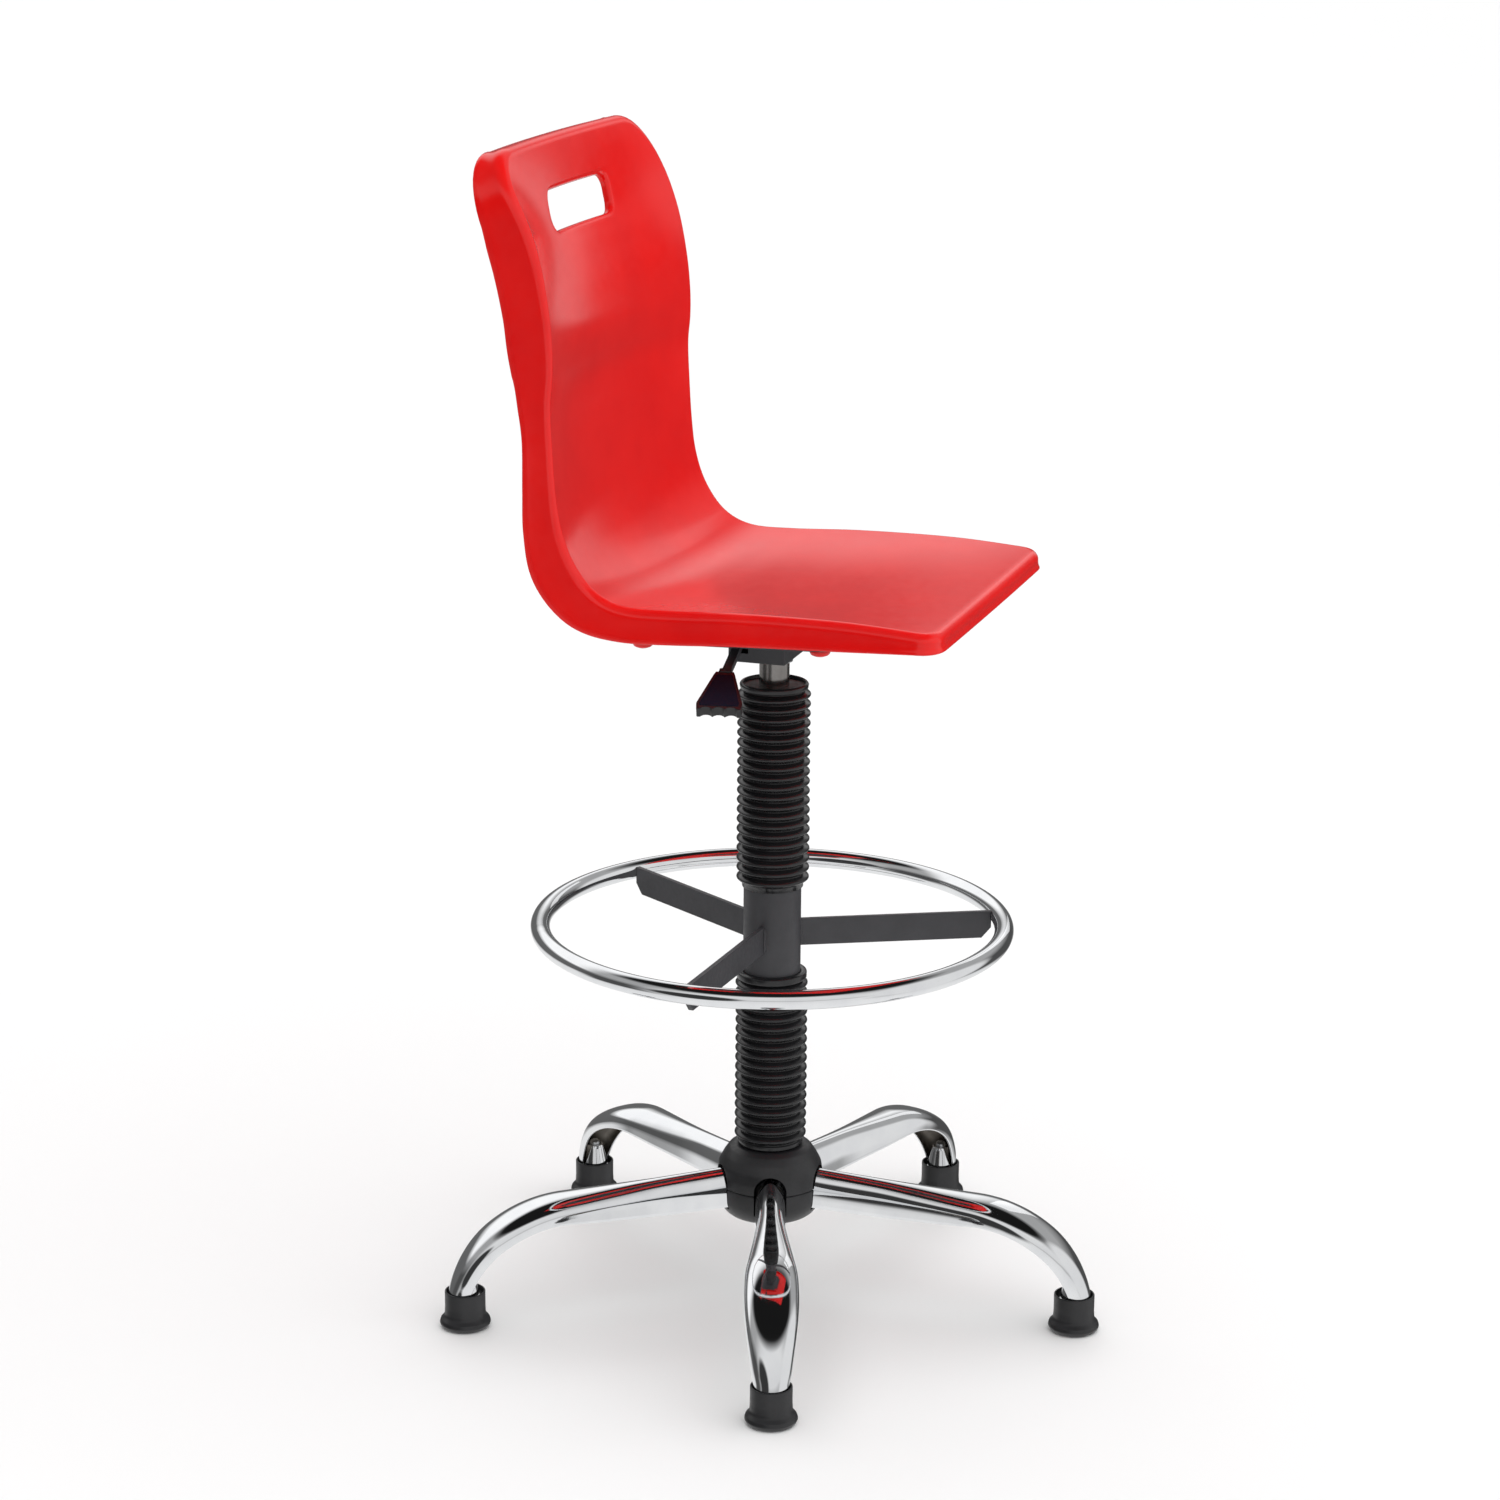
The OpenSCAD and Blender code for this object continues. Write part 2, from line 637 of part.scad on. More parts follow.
module leg() {
    edge = ARCH_STEPS + 1;
    m = 2 * edge + 1;
    n = len(LEG_STEPS);
    loop = 2 * m;
    rings = [for (s = LEG_STEPS) each concat(
        [for (k = [-edge:edge]) arch_point(s, k, 0)],
        [for (k = [edge:-1:-edge]) arch_point(s, k, leg_wall)]
    )];
    sides = [for (j = [0:n - 2], k = [0:loop - 1]) let (b = (k + 1) % loop)
        [j * loop + k, j * loop + b, (j + 1) * loop + b, (j + 1) * loop + k]];
    ends = [for (e = [0, n - 1], k = [0:m - 2]) let (q = [k, loop - 1 - k, loop - 2 - k, k + 1])
        [for (c = [0:3]) q[e == 0 ? c : 3 - c] + e * loop]];
    color(CHROME) difference() {
        polyhedron(points = rings, faces = concat(sides, ends));
        translate([0, 0, hub_seam_z - 40]) cylinder(r = core_r, h = 80);
    }
}

module at_foot(i) {
    at_leg(i) translate([foot_circle_r, 0, 0]) children();
}

// Chromed cone that holds the glide's pin inside the end of the leg
holder_z = 30;
holder_top_z = 53;
pin_stem_r = 5.5;
module foot_holder(i) {
    color(CHROME) at_foot(i) rotate_extrude($fn = 48) polygon([
        [pin_stem_r, holder_z], [13.9, holder_z], [13.9, holder_z + 2], [12.3, holder_z + 2],
        [12.3, holder_z + 4], [6.4, holder_top_z], [pin_stem_r, holder_top_z]
    ]);
}

// Riveted pin with a flange that is moulded into the glide
module glide_pin(i) {
    top = holder_top_z;
    color(STEEL) at_foot(i) rotate_extrude($fn = 48) polygon([
        [0, 8], [8, 8], [8, 10], [pin_stem_r, 10], [pin_stem_r, top],
        [5, top + 2.5], [3.4, top + 4.4], [0, top + 5]
    ]);
}

module glide(i) {
    color(BLACK) at_foot(i) difference() {
        rotate_extrude($fn = 48) polygon([
            [0, 0], [21, 0], [23.4, 2], [24, 5], [23.4, 8], [20.5, 11], [19, 13], [19, 34], [18.2, 35.5],
            [17.4, 35.5], [17.4, 27], [0, 27]
        ]);
        translate([0, 0, 8]) cylinder(r = 8, h = 2);
        translate([0, 0, 9]) cylinder(r = pin_stem_r, h = 30);
    }
}

seat_shell();
shell_screws();
screw_caps();
seat_plate();
lever_housing();
taper_socket();
lever_pin();
lever_rod();
lever_grip();
release_button();
gas_cylinder();
rod_guide();
bellows_ring();
piston();
piston_rod();
upper_race();
bearing_balls();
lower_race();
column_tube();
column_bush();
rod_washer();
rod_clip();
upper_bellows();
lower_bellows();
footring();
footring_sleeve();
spoke(1);  // footring_spoke_1
spoke(2);  // footring_spoke_2
spoke(3);  // footring_spoke_3
hub_core();
hub_cover();
hub_cap();
for (i = [1:LEGS]) at_leg(i) leg();
for (i = [1:LEGS]) foot_holder(i);
for (i = [1:LEGS]) glide_pin(i);
for (i = [1:LEGS]) glide(i);
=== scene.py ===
"""Looks for the drafting chair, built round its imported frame.

Everything is in the chair's own frame: the floor under the swivel axis is the origin,
+Z is up and the sitter faces -Y. Shapes are worked out in millimetres and MM turns them
into the scene's metres.
"""
import json
import math

import bmesh
import bpy
from mathutils import Matrix, Vector


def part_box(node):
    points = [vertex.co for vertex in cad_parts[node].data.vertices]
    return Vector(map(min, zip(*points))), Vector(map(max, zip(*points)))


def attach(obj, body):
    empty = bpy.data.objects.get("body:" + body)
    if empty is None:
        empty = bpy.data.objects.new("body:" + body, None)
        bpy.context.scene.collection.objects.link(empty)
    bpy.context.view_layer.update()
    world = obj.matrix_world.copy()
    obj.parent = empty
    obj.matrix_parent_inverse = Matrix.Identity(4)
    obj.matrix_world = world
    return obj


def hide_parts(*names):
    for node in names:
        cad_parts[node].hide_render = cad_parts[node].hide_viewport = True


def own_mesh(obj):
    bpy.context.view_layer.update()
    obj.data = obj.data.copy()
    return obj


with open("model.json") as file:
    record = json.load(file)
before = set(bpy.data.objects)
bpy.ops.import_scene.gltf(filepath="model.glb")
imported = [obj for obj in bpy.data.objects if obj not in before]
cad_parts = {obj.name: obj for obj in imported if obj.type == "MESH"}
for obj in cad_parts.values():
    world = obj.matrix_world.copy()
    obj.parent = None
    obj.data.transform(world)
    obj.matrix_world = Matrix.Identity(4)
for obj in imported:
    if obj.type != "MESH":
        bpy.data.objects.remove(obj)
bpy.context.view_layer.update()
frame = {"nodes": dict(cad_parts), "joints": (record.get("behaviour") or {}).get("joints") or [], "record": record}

MM = 0.001
NODES = frame["nodes"]


def lerp(a, b, f):
    return a + (b - a) * f


def clamp(x, low=0.0, high=1.0):
    return max(low, min(high, x))


def box_mm(node):
    """A CAD node's lowest and highest corners, in millimetres."""
    low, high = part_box(node)
    return low / MM, high / MM


def joint(name):
    return next(j for j in frame["joints"] if j["name"] == name)


def lookup(table, x):
    """The value at x in a list of [x, value] pairs, straight between them and held at its ends."""
    if x <= table[0][0]:
        return table[0][1]
    for (x0, y0), (x1, y1) in zip(table, table[1:]):
        if x <= x1:
            return lerp(y0, y1, (x - x0) / (x1 - x0))
    return table[-1][1]


# ---- Materials ------------------------------------------------------------------


class Surface:
    """A Principled material with object-space noise for its bump and roughness."""

    def __init__(self, name, **settings):
        self.material = bpy.data.materials.new(name)
        self.material.use_nodes = True
        self.tree = self.material.node_tree
        self.shader = next(n for n in self.tree.nodes if n.type == "BSDF_PRINCIPLED")
        for key, value in settings.items():
            socket = self.shader.inputs[key.replace("_", " ").title().replace("Ior", "IOR")]
            socket.default_value = (*value, 1) if isinstance(value, tuple) else value
        self.place = self.node("ShaderNodeTexCoord").outputs["Object"]
        self.height = None

    def node(self, kind, **inputs):
        made = self.tree.nodes.new(kind)
        for key, value in inputs.items():
            made.inputs[key].default_value = value
        return made

    def link(self, a, b):
        self.tree.links.new(a, b)

    def noise(self, size_mm, detail=3.0, stretch=(1, 1, 1)):
        """Noise whose features are about size_mm across, stretched along an axis if asked."""
        mapping = self.node("ShaderNodeMapping")
        mapping.inputs["Scale"].default_value = stretch
        self.link(self.place, mapping.inputs["Vector"])
        made = self.node("ShaderNodeTexNoise", Scale=1 / (size_mm * MM), Detail=detail)
        self.link(mapping.outputs["Vector"], made.inputs["Vector"])
        return made.outputs["Fac"]

    def spread(self, factor, low, high):
        """A noise, drawn out to run from low to high."""
        made = self.node("ShaderNodeMapRange")
        made.inputs["From Min"].default_value = 0.3
        made.inputs["From Max"].default_value = 0.7
        made.inputs["To Min"].default_value = low
        made.inputs["To Max"].default_value = high
        self.link(factor, made.inputs["Value"])
        return made.outputs["Result"]

    def rough(self, size_mm, low, high, **kinds):
        """Roughness that drifts between two values."""
        self.link(self.spread(self.noise(size_mm, **kinds), low, high), self.shader.inputs["Roughness"])
        return self

    def tint(self, size_mm, dark, light, **kinds):
        """Base colour that drifts between two shades."""
        mix = self.node("ShaderNodeMix")
        mix.data_type = "RGBA"
        colours = [s for s in mix.inputs if s.type == "RGBA"]
        colours[0].default_value = (*dark, 1)
        colours[1].default_value = (*light, 1)
        self.link(self.spread(self.noise(size_mm, **kinds), 0, 1), mix.inputs[0])
        result = next(s for s in mix.outputs if s.type == "RGBA")
        self.link(result, self.shader.inputs["Base Color"])
        return self

    def bump(self, size_mm, depth_mm, strength=1.0, **kinds):
        """A layer of surface relief, on top of those made before it."""
        made = self.node("ShaderNodeBump", Strength=strength, Distance=depth_mm * MM)
        self.link(self.noise(size_mm, **kinds), made.inputs["Height"])
        if self.height is not None:
            self.link(self.height, made.inputs["Normal"])
        self.height = made.outputs["Normal"]
        self.link(self.height, self.shader.inputs["Normal"])
        return self


def make_materials():
    """One material for each slot, and two finishes that share the slot of their piece."""
    red = Surface("red_polypropylene", ior=1.46)
    red.tint(60, (0.69, 0.004, 0.004), (0.75, 0.006, 0.005)).rough(9, 0.15, 0.21)
    red.bump(0.9, 0.008, 0.25).bump(45, 0.08, 0.2, detail=1.0)

    chrome = Surface("chrome_plate", metallic=1.0)
    chrome.tint(25, (0.80, 0.81, 0.83), (0.86, 0.87, 0.88)).rough(14, 0.035, 0.075)
    chrome.bump(22, 0.05, 0.22, detail=1.0)

    paint = Surface("grey_powder_coat", ior=1.5)
    paint.tint(30, (0.034, 0.034, 0.038), (0.046, 0.046, 0.051)).rough(4, 0.40, 0.52)
    paint.bump(0.8, 0.03, 0.5).bump(0.25, 0.01, 0.3)

    nylon = Surface("black_nylon", ior=1.52)
    nylon.tint(20, (0.010, 0.010, 0.011), (0.016, 0.016, 0.018)).rough(3, 0.36, 0.46)
    nylon.bump(0.5, 0.02, 0.5)

    gaiter = Surface("black_gaiter", ior=1.5)
    gaiter.tint(18, (0.008, 0.008, 0.009), (0.012, 0.012, 0.013)).rough(12, 0.17, 0.23)
    gaiter.bump(6, 0.02, 0.12)

    steel = Surface("machined_steel", metallic=1.0)
    steel.tint(8, (0.42, 0.43, 0.45), (0.56, 0.57, 0.58)).rough(2, 0.22, 0.38, stretch=(1, 1, 8))
    steel.bump(0.4, 0.01, 0.3, stretch=(1, 1, 10))

    tube = Surface("blackened_tube", metallic=0.85)
    tube.tint(20, (0.24, 0.225, 0.215), (0.31, 0.295, 0.285)).rough(4, 0.13, 0.19, stretch=(1, 1, 0.2))
    tube.bump(0.5, 0.01, 0.25, stretch=(1, 1, 6))

    navy = Surface("navy_panel", specular_ior_level=0.15)
    navy.tint(20, (0.003, 0.009, 0.020), (0.004, 0.012, 0.026)).rough(3, 0.45, 0.55)
    navy.bump(0.5, 0.01, 0.3)

    thin = Surface("thin_plate", metallic=1.0)
    thin.tint(15, (0.20, 0.18, 0.155), (0.29, 0.265, 0.235)).rough(6, 0.36, 0.5)
    thin.bump(1.5, 0.02, 0.3)

    made = {"red_shell": red, "chrome": chrome, "dark_paint": paint, "black_plastic": nylon}
    made.update({"bellows": gaiter, "steel": steel, "gunmetal": tube, "navy": navy, "thin": thin})
    return {slot: surface.material for slot, surface in made.items()}


MATERIALS = make_materials()


# ---- Meshes ---------------------------------------------------------------------


def mesh_object(name, points_mm, faces, sharp=None):
    """A smooth-shaded object from points in millimetres, with its faces turned outwards.
    sharp is the angle in degrees above which an edge shows."""
    mesh = bpy.data.meshes.new(name)
    mesh.from_pydata([tuple(Vector(p) * MM) for p in points_mm], [], faces)
    work = bmesh.new()
    work.from_mesh(mesh)
    bmesh.ops.remove_doubles(work, verts=work.verts, dist=0.002 * MM)
    bmesh.ops.recalc_face_normals(work, faces=work.faces)
    work.to_mesh(mesh)
    work.free()
    mesh.shade_smooth()
    if sharp is not None:
        mesh.set_sharp_from_angle(angle=math.radians(sharp))
    obj = bpy.data.objects.new(name, mesh)
    bpy.context.scene.collection.objects.link(obj)
    return obj


def weighted_normals(obj):
    """Flat faces stay flat up to their rounded edges."""
    modifier = obj.modifiers.new("flat_faces", "WEIGHTED_NORMAL")
    modifier.keep_sharp = True
    modifier.weight = 80


def filleted(corners, closed=True, step=15):
    """An outline of (x, y) or (x, y, radius) corners, with its corners rounded."""
    points = []
    n = len(corners)
    for k, corner in enumerate(corners):
        here = Vector(corner[:2])
        radius = corner[2] if len(corner) > 2 else 0
        if not radius or (not closed and k in (0, n - 1)):
            points.append(tuple(here))
            continue
        back = Vector(corners[k - 1][:2]) - here
        ahead = Vector(corners[(k + 1) % n][:2]) - here
        half = back.angle(ahead) / 2
        reach = min(radius / math.tan(half), 0.49 * back.length, 0.49 * ahead.length)
        radius = reach * math.tan(half)
        middle = here + (back.normalized() + ahead.normalized()).normalized() * radius / math.sin(half)
        start = here + back.normalized() * reach - middle
        turn = start.angle_signed(here + ahead.normalized() * reach - middle)
        count = max(2, round(abs(math.degrees(turn)) / step))
        for j in range(count + 1):
            spun = start.copy()
            spun.rotate(Matrix.Rotation(-turn * j / count, 2))
            points.append(tuple(middle + spun))
    return points


def ring_faces(rings, count, wrap=False):
    """Quads between consecutive closed rings of count points, numbered one ring after another.
    With wrap, the last ring joins the first."""
    return [
        (j * count + k, j * count + (k + 1) % count,
         (j + 1) % rings * count + (k + 1) % count, (j + 1) % rings * count + k)
        for j in range(rings if wrap else rings - 1) for k in range(count)
    ]


def lathe(name, outline, segments, centre=(0, 0), wobble=None):
    """A closed outline of (radius, height) pairs, turned about the vertical through centre.
    wobble(angle, radius, height) gives a change of radius."""
    points = []
    for k in range(segments):
        a = 2 * math.pi * k / segments
        for r, z in outline:
            r = max(0.0, r + (wobble(a, r, z) if wobble and r > 0 else 0))
            points.append((centre[0] + r * math.cos(a), centre[1] + r * math.sin(a), z))
    faces = ring_faces(segments, len(outline), wrap=True)
    return mesh_object(name, points, faces)


def prism(name, outline, z0, z1):
    """An outline of (x, y) pairs drawn out from z0 to z1."""
    n = len(outline)
    points = [(x, y, z) for z in (z0, z1) for x, y in outline]
    faces = ring_faces(2, n) + [tuple(range(n)), tuple(range(n, 2 * n))]
    return mesh_object(name, points, faces, sharp=30)


def bevelled(obj, width_mm, segments, angle=30):
    """Rounds the edges that turn by more than angle."""
    modifier = obj.modifiers.new("edge_round", "BEVEL")
    modifier.width = width_mm * MM
    modifier.segments = segments
    modifier.limit_method = "ANGLE"
    modifier.angle_limit = math.radians(angle)
    modifier.harden_normals = True


def apply_modifiers(obj):
    """The object's mesh with its modifiers worked into it."""
    bpy.context.view_layer.update()
    graph = bpy.context.evaluated_depsgraph_get()
    made = bpy.data.meshes.new_from_object(obj.evaluated_get(graph))
    obj.modifiers.clear()
    obj.data = made


def rounded_prism(name, outline, z0, z1, width_mm, segments, angle=30):
    """A prism with its edges rounded for good."""
    obj = prism(name, outline, z0, z1)
    bevelled(obj, width_mm, segments, angle)
    apply_modifiers(obj)
    return obj


def joined(name, objects):
    """Several objects made into one, in the chair's frame."""
    work = bmesh.new()
    for obj in objects:
        mesh = obj.data
        mesh.transform(obj.matrix_world)
        work.from_mesh(mesh)
        bpy.data.objects.remove(obj)
    mesh = bpy.data.meshes.new(name)
    work.to_mesh(mesh)
    work.free()
    obj = bpy.data.objects.new(name, mesh)
    bpy.context.scene.collection.objects.link(obj)
    return obj


def place(obj, body, slot, *stands_for, finish=None):
    """Gives a finished piece its material and its body, and hides the CAD nodes that it stands for."""
    obj.data.materials.clear()
    obj.data.materials.append(MATERIALS[finish or slot])
    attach(obj, body)
    if stands_for:
        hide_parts(*stands_for)


# ---- Seat shell -----------------------------------------------------------------

# The side edge from the front of the seat to the top of the back: place along Y,
# height over the seat's edge, dish in the middle, flange depth, radius of the roll
SHELL_PROFILE = [
    (-197, -5, 1, 17, 9), (-120, 0, 6, 25, 9), (-30, 0, 10, 28, 9), (40, -3, 11, 29, 9),
    (82, -2, 11, 31, 9), (109, 10, 11, 38, 8.5), (128, 34, 11, 40, 7.5), (139, 63, 11, 34, 6.5),
    (144, 96, 12, 29, 5.5), (147, 141, 14.5, 26, 5), (148, 171, 16.5, 29, 5), (146, 196, 14.8, 36, 5),
    (146, 221, 13, 40, 5.5), (149, 253, 14.5, 41, 6), (156, 291, 21, 42, 7), (166, 323, 24, 41, 8),
    (178, 349, 17, 36, 9), (189, 371, 9, 28, 10), (196, 385, 5, 20, 10),
]
LAST_U = len(SHELL_PROFILE) - 1
BACK_RISE = 387.74
SEAT_H = box_mm("seat_shell")[1].z - BACK_RISE
SHELL_EDGE_X = 191
SHELL_HALF = 182
SHELL_WALL = 4.5
FRONT_CORNER = 16
TOP_CORNER = 42
TOP_BOW = 7
# Both ends of the sheet are trimmed to their corners: over how many steps of the profile
# the trim fades out, and the length of a step there
FRONT_FADE, FRONT_STEP = 5, 77
TOP_FADE, TOP_STEP = 6, 21
REAR_CORNER_PUSH = 4.5
FLANGE_SPLAY = 2
RIM_R = 1.5
DISH_POWER = 2.2


def along_list(rows, u):
    """Smooth curve through a list of rows, at u counted in list steps."""
    k = min(len(rows) - 2, max(0, math.floor(u)))
    f = u - k
    a, b, c, d = (rows[max(0, min(len(rows) - 1, k + s))] for s in (-1, 0, 1, 2))
    return [
        0.5 * (2 * q + (r - p) * f + (2 * p - 5 * q + 4 * r - s) * f * f + (3 * q - p - 3 * r + s) * f ** 3)
        for p, q, r, s in zip(a, b, c, d)
    ]


def shell_frame(u):
    """The profile's row at u, the direction along it, and the direction that faces the sitter."""
    low = along_list(SHELL_PROFILE, max(0, u - 0.05))
    high = along_list(SHELL_PROFILE, min(LAST_U, u + 0.05))
    along = Vector((0, high[0] - low[0], high[1] - low[1])).normalized()
    return along_list(SHELL_PROFILE, u), along, Vector((0, -along.z, along.y))


def corner_drop(x, radius):
    """Depth of a round corner of the sheet at distance x from its middle."""
    q = clamp(x - SHELL_HALF + radius, 0, radius)
    return radius - math.sqrt(radius * radius - q * q)


def edge_u(v, t):
    """Profile place of the point v up the sheet and t across it: the ends follow the corners."""
    x = abs(t) * SHELL_HALF
    front = corner_drop(x, FRONT_CORNER) / FRONT_STEP
    top = (TOP_BOW * t * t + corner_drop(x, TOP_CORNER)) / TOP_STEP
    top_share = max(0, 1 - (LAST_U - v) / TOP_FADE)
    return v + front * max(0, 1 - v / FRONT_FADE) - top * top_share


def shell_point(v, t, depth):
    """A point of the sheet, at a depth behind the side that faces the sitter."""
    row, _, facing = shell_frame(edge_u(v, t))
    dish = row[2] * (1 - abs(t) ** DISH_POWER)
    return Vector((t * (SHELL_EDGE_X - row[4]), row[0], SEAT_H + row[1])) - facing * (dish + depth)


def edge_section(row):
    """(out, down, depth) of each point from the sheet's border, over the roll, down the flange,
    round its rim and back up inside it."""
    roll, low = row[4], row[3] - RIM_R
    inner = max(0.3, roll - SHELL_WALL)
    half_wall = SHELL_WALL / 2
    quarter = [math.radians(90 * k / 8) for k in range(1, 9)]
    section = [(roll * math.sin(a), roll * (1 - math.cos(a)), 0) for a in quarter]
    flange = [(FLANGE_SPLAY * s * s, lerp(roll, low, s)) for s in (k / 5 for k in range(6))]
    section += [(roll + splay, down, 0) for splay, down in flange[1:]]
    for b in (math.radians(180 * k / 6) for k in range(1, 6)):
        section.append((roll + FLANGE_SPLAY - half_wall * (1 - math.cos(b)), low + RIM_R * math.sin(b), 0))
    section += [(roll - SHELL_WALL + splay, down, 0) for splay, down in reversed(flange)]
    for a in (math.radians(90 * k / 6) for k in range(5, 0, -1)):
        section.append((inner * math.sin(a), inner * (1 - math.cos(a)), SHELL_WALL))
    return section


def edge_column(v, t):
    """The edge section's points at one place on the sheet's border."""
    row, along, facing = shell_frame(edge_u(v, t))
    side, end = 1.0, 0.0
    if v in (0, LAST_U):
        radius = FRONT_CORNER if v == 0 else TOP_CORNER
        side = clamp((abs(t) * SHELL_HALF - SHELL_HALF + radius) / radius)
        end = (-1 if v == 0 else 1) * math.sqrt(1 - side * side)
    outward = Vector((math.copysign(side, t), 0, 0)) + along * end
    # The rear rim is fuller at the top corners
    corner = REAR_CORNER_PUSH * 2 * side * max(0, end) if v else 0
    return [
        shell_point(v, t, depth) + outward * (out + corner * (down / row[3]) ** 1.5) - facing * down
        for out, down, depth in edge_section(row)
    ]


# The hand-hold, in millimetres across and up the back from its middle. One step of v is
# about V_STEP_MM long there
SLOT_HALF = (77, 18.2)
SLOT_CORNER = 13
SLOT_MID_V = 15.425
V_STEP_MM = 27
# The patch of the sheet that is left out round it: half its width, its lowest and highest v
PATCH_HALF, PATCH_LOW, PATCH_HIGH = 100, 14.25, 16.625
SLOT_DEPTH = 7
SLOT_ROLL = 4
SLOT_RIM = 1.75


def slot_mm(v, t):
    """Millimetres across and up from the slot's middle."""
    return Vector((t * SHELL_HALF, (v - SLOT_MID_V) * V_STEP_MM))


def slot_point(place_mm, depth):
    return shell_point(SLOT_MID_V + place_mm.y / V_STEP_MM, place_mm.x / SHELL_HALF, depth)


def slot_rings(v, t):
    """The points from one border point of the slot's patch, over the lip and back to the rear."""
    here = slot_mm(v, t)
    core = Vector((clamp(here.x, SLOT_CORNER - SLOT_HALF[0], SLOT_HALF[0] - SLOT_CORNER),
                   clamp(here.y, SLOT_CORNER - SLOT_HALF[1], SLOT_HALF[1] - SLOT_CORNER)))
    away = (here - core).normalized()
    hole = core + away * SLOT_CORNER
    lip = hole + away * SLOT_ROLL
    steps = [(here.lerp(lip, k / 4), 0) for k in range(1, 5)]
    for k in range(1, 7):
        a = math.radians(15 * k)
        steps.append((lip - away * SLOT_ROLL * math.sin(a), SLOT_ROLL * (1 - math.cos(a))))
    steps += [(hole, lerp(SLOT_ROLL, SLOT_DEPTH, k / 3)) for k in range(1, 4)]
    for k in range(1, 6):
        b = math.radians(30 * k)
        steps.append((hole + away * SLOT_RIM * (1 - math.cos(b)), SLOT_DEPTH + SLOT_RIM * math.sin(b)))
    back = hole + away * 2 * SLOT_RIM
    steps += [(back, lerp(SLOT_DEPTH, SHELL_WALL + 1, f)) for f in (0, 0.7, 1)]
    steps += [(back.lerp(here, f), SHELL_WALL) for f in (0.12, 0.5)]
    return [slot_point(*step) for step in steps]


def sheet_columns():
    """Places across the sheet, as shares of its half width: even, then closer round the corners."""
    flat = SHELL_HALF - TOP_CORNER
    xs = [flat * k / 28 for k in range(29)]
    xs += [flat + TOP_CORNER * math.sin(math.radians(90 * k / 14)) for k in range(1, 15)]
    return [-x / SHELL_HALF for x in reversed(xs[1:])] + [x / SHELL_HALF for x in xs]


def sheet_rows():
    """Places up the sheet in profile steps: 16 to a step at the front, then 8."""
    fine = 3
    return [k / 16 for k in range(16 * fine)] + [fine + k / 8 for k in range(8 * (LAST_U - fine) + 1)]


def shell_sheet():
    """The shell as one closed surface: both sides of the sheet, joined round its border and
    through the hand-hold."""
    ts, vs = sheet_columns(), sheet_rows()
    nr, nc = len(vs), len(ts)
    i1 = min(range(nc), key=lambda i: abs(ts[i] * SHELL_HALF - PATCH_HALF))
    i0 = nc - 1 - i1
    j0, j1 = vs.index(PATCH_LOW), vs.index(PATCH_HIGH)
    points, faces = [], []
    for depth in (0, SHELL_WALL):
        base = len(points)
        points += [shell_point(v, t, depth) for v in vs for t in ts]
        corners = [
            base + j * nc + i
            for j in range(nr - 1) for i in range(nc - 1) if not (j0 <= j < j1 and i0 <= i < i1)
        ]
        faces += [(k, k + 1, k + 1 + nc, k + nc) for k in corners]

    def loop(ja, jb, ia, ib):
        """(row, column) of each border point of a block of the sheet, in turn."""
        return ([(ja, i) for i in range(ia, ib)] + [(j, ib) for j in range(ja, jb)]
                + [(jb, i) for i in range(ib, ia, -1)] + [(j, ia) for j in range(jb, ja, -1)])

    def stitch(border, columns):
        """Faces from the front sheet's border, over each border point's column of points, to the back."""
        deep = len(columns[0])
        base = len(points)
        points.extend(p for column in columns for p in column)

        def at(b, k):
            b %= len(border)
            j, i = border[b]
            if k == 0 or k == deep + 1:
                return (nr * nc if k else 0) + j * nc + i
            return base + b * deep + k - 1

        for b in range(len(border)):
            faces.extend((at(b, k), at(b + 1, k), at(b + 1, k + 1), at(b, k + 1)) for k in range(deep + 1))

    outer = loop(0, nr - 1, 0, nc - 1)
    stitch(outer, [edge_column(vs[j], ts[i]) for j, i in outer])
    slot = loop(j0, j1, i0, i1)
    stitch(slot, [slot_rings(vs[j], ts[i]) for j, i in slot])
    return mesh_object("shell_sheet", points, faces)


CAP_R = 9.5
FRONT_INSET = 22


def screw_places():
    """(x, y) of the four screws, from their caps' box: the front pair is closer together."""
    low, high = box_mm("screw_caps")
    wide = high.x - CAP_R
    rear, front = high.y - CAP_R, low.y + CAP_R
    return [(s * x, y) for s in (-1, 1) for x, y in ((wide, rear), (wide - FRONT_INSET, front))]


def sheet_middle(x, y):
    """Height of the middle of the seat's wall over (x, y), found by halving the profile steps
    that hold it."""
    low, high = 0.0, LAST_U / 2
    for _ in range(24):
        v = (low + high) / 2
        if shell_point(v, x / SHELL_HALF, SHELL_WALL / 2).y < y:
            low = v
        else:
            high = v
    return shell_point(v, x / SHELL_HALF, SHELL_WALL / 2).z


BOSS_R = 11
BOSS_BORE_R = 3
GUSSET_REACH = 27
GUSSET_WALL = 2.2
GUSSET_FOOT = 12


def seat_shell():
    parts = [shell_sheet()]
    low = box_mm("seat_plate")[1].z
    for k, (x, y) in enumerate(screw_places()):
        reach = BOSS_R - 1
        top = min(sheet_middle(x + dx, y + dy) for dx in (-reach, reach) for dy in (-reach, reach))
        outline = filleted([
            (BOSS_BORE_R, low), (BOSS_R, low, 0.8), (BOSS_R + 0.4, top, 4), (BOSS_BORE_R, top),
        ])
        parts.append(lathe(f"boss_{k}", outline, 40, (x, y)))
        for a in range(0, 360, 90):
            parts.append(gusset(f"gusset_{k}_{a}", (x, y), a + 45, low + GUSSET_FOOT))
    place(joined("shell", parts), "seat", "red_shell", "seat_shell")


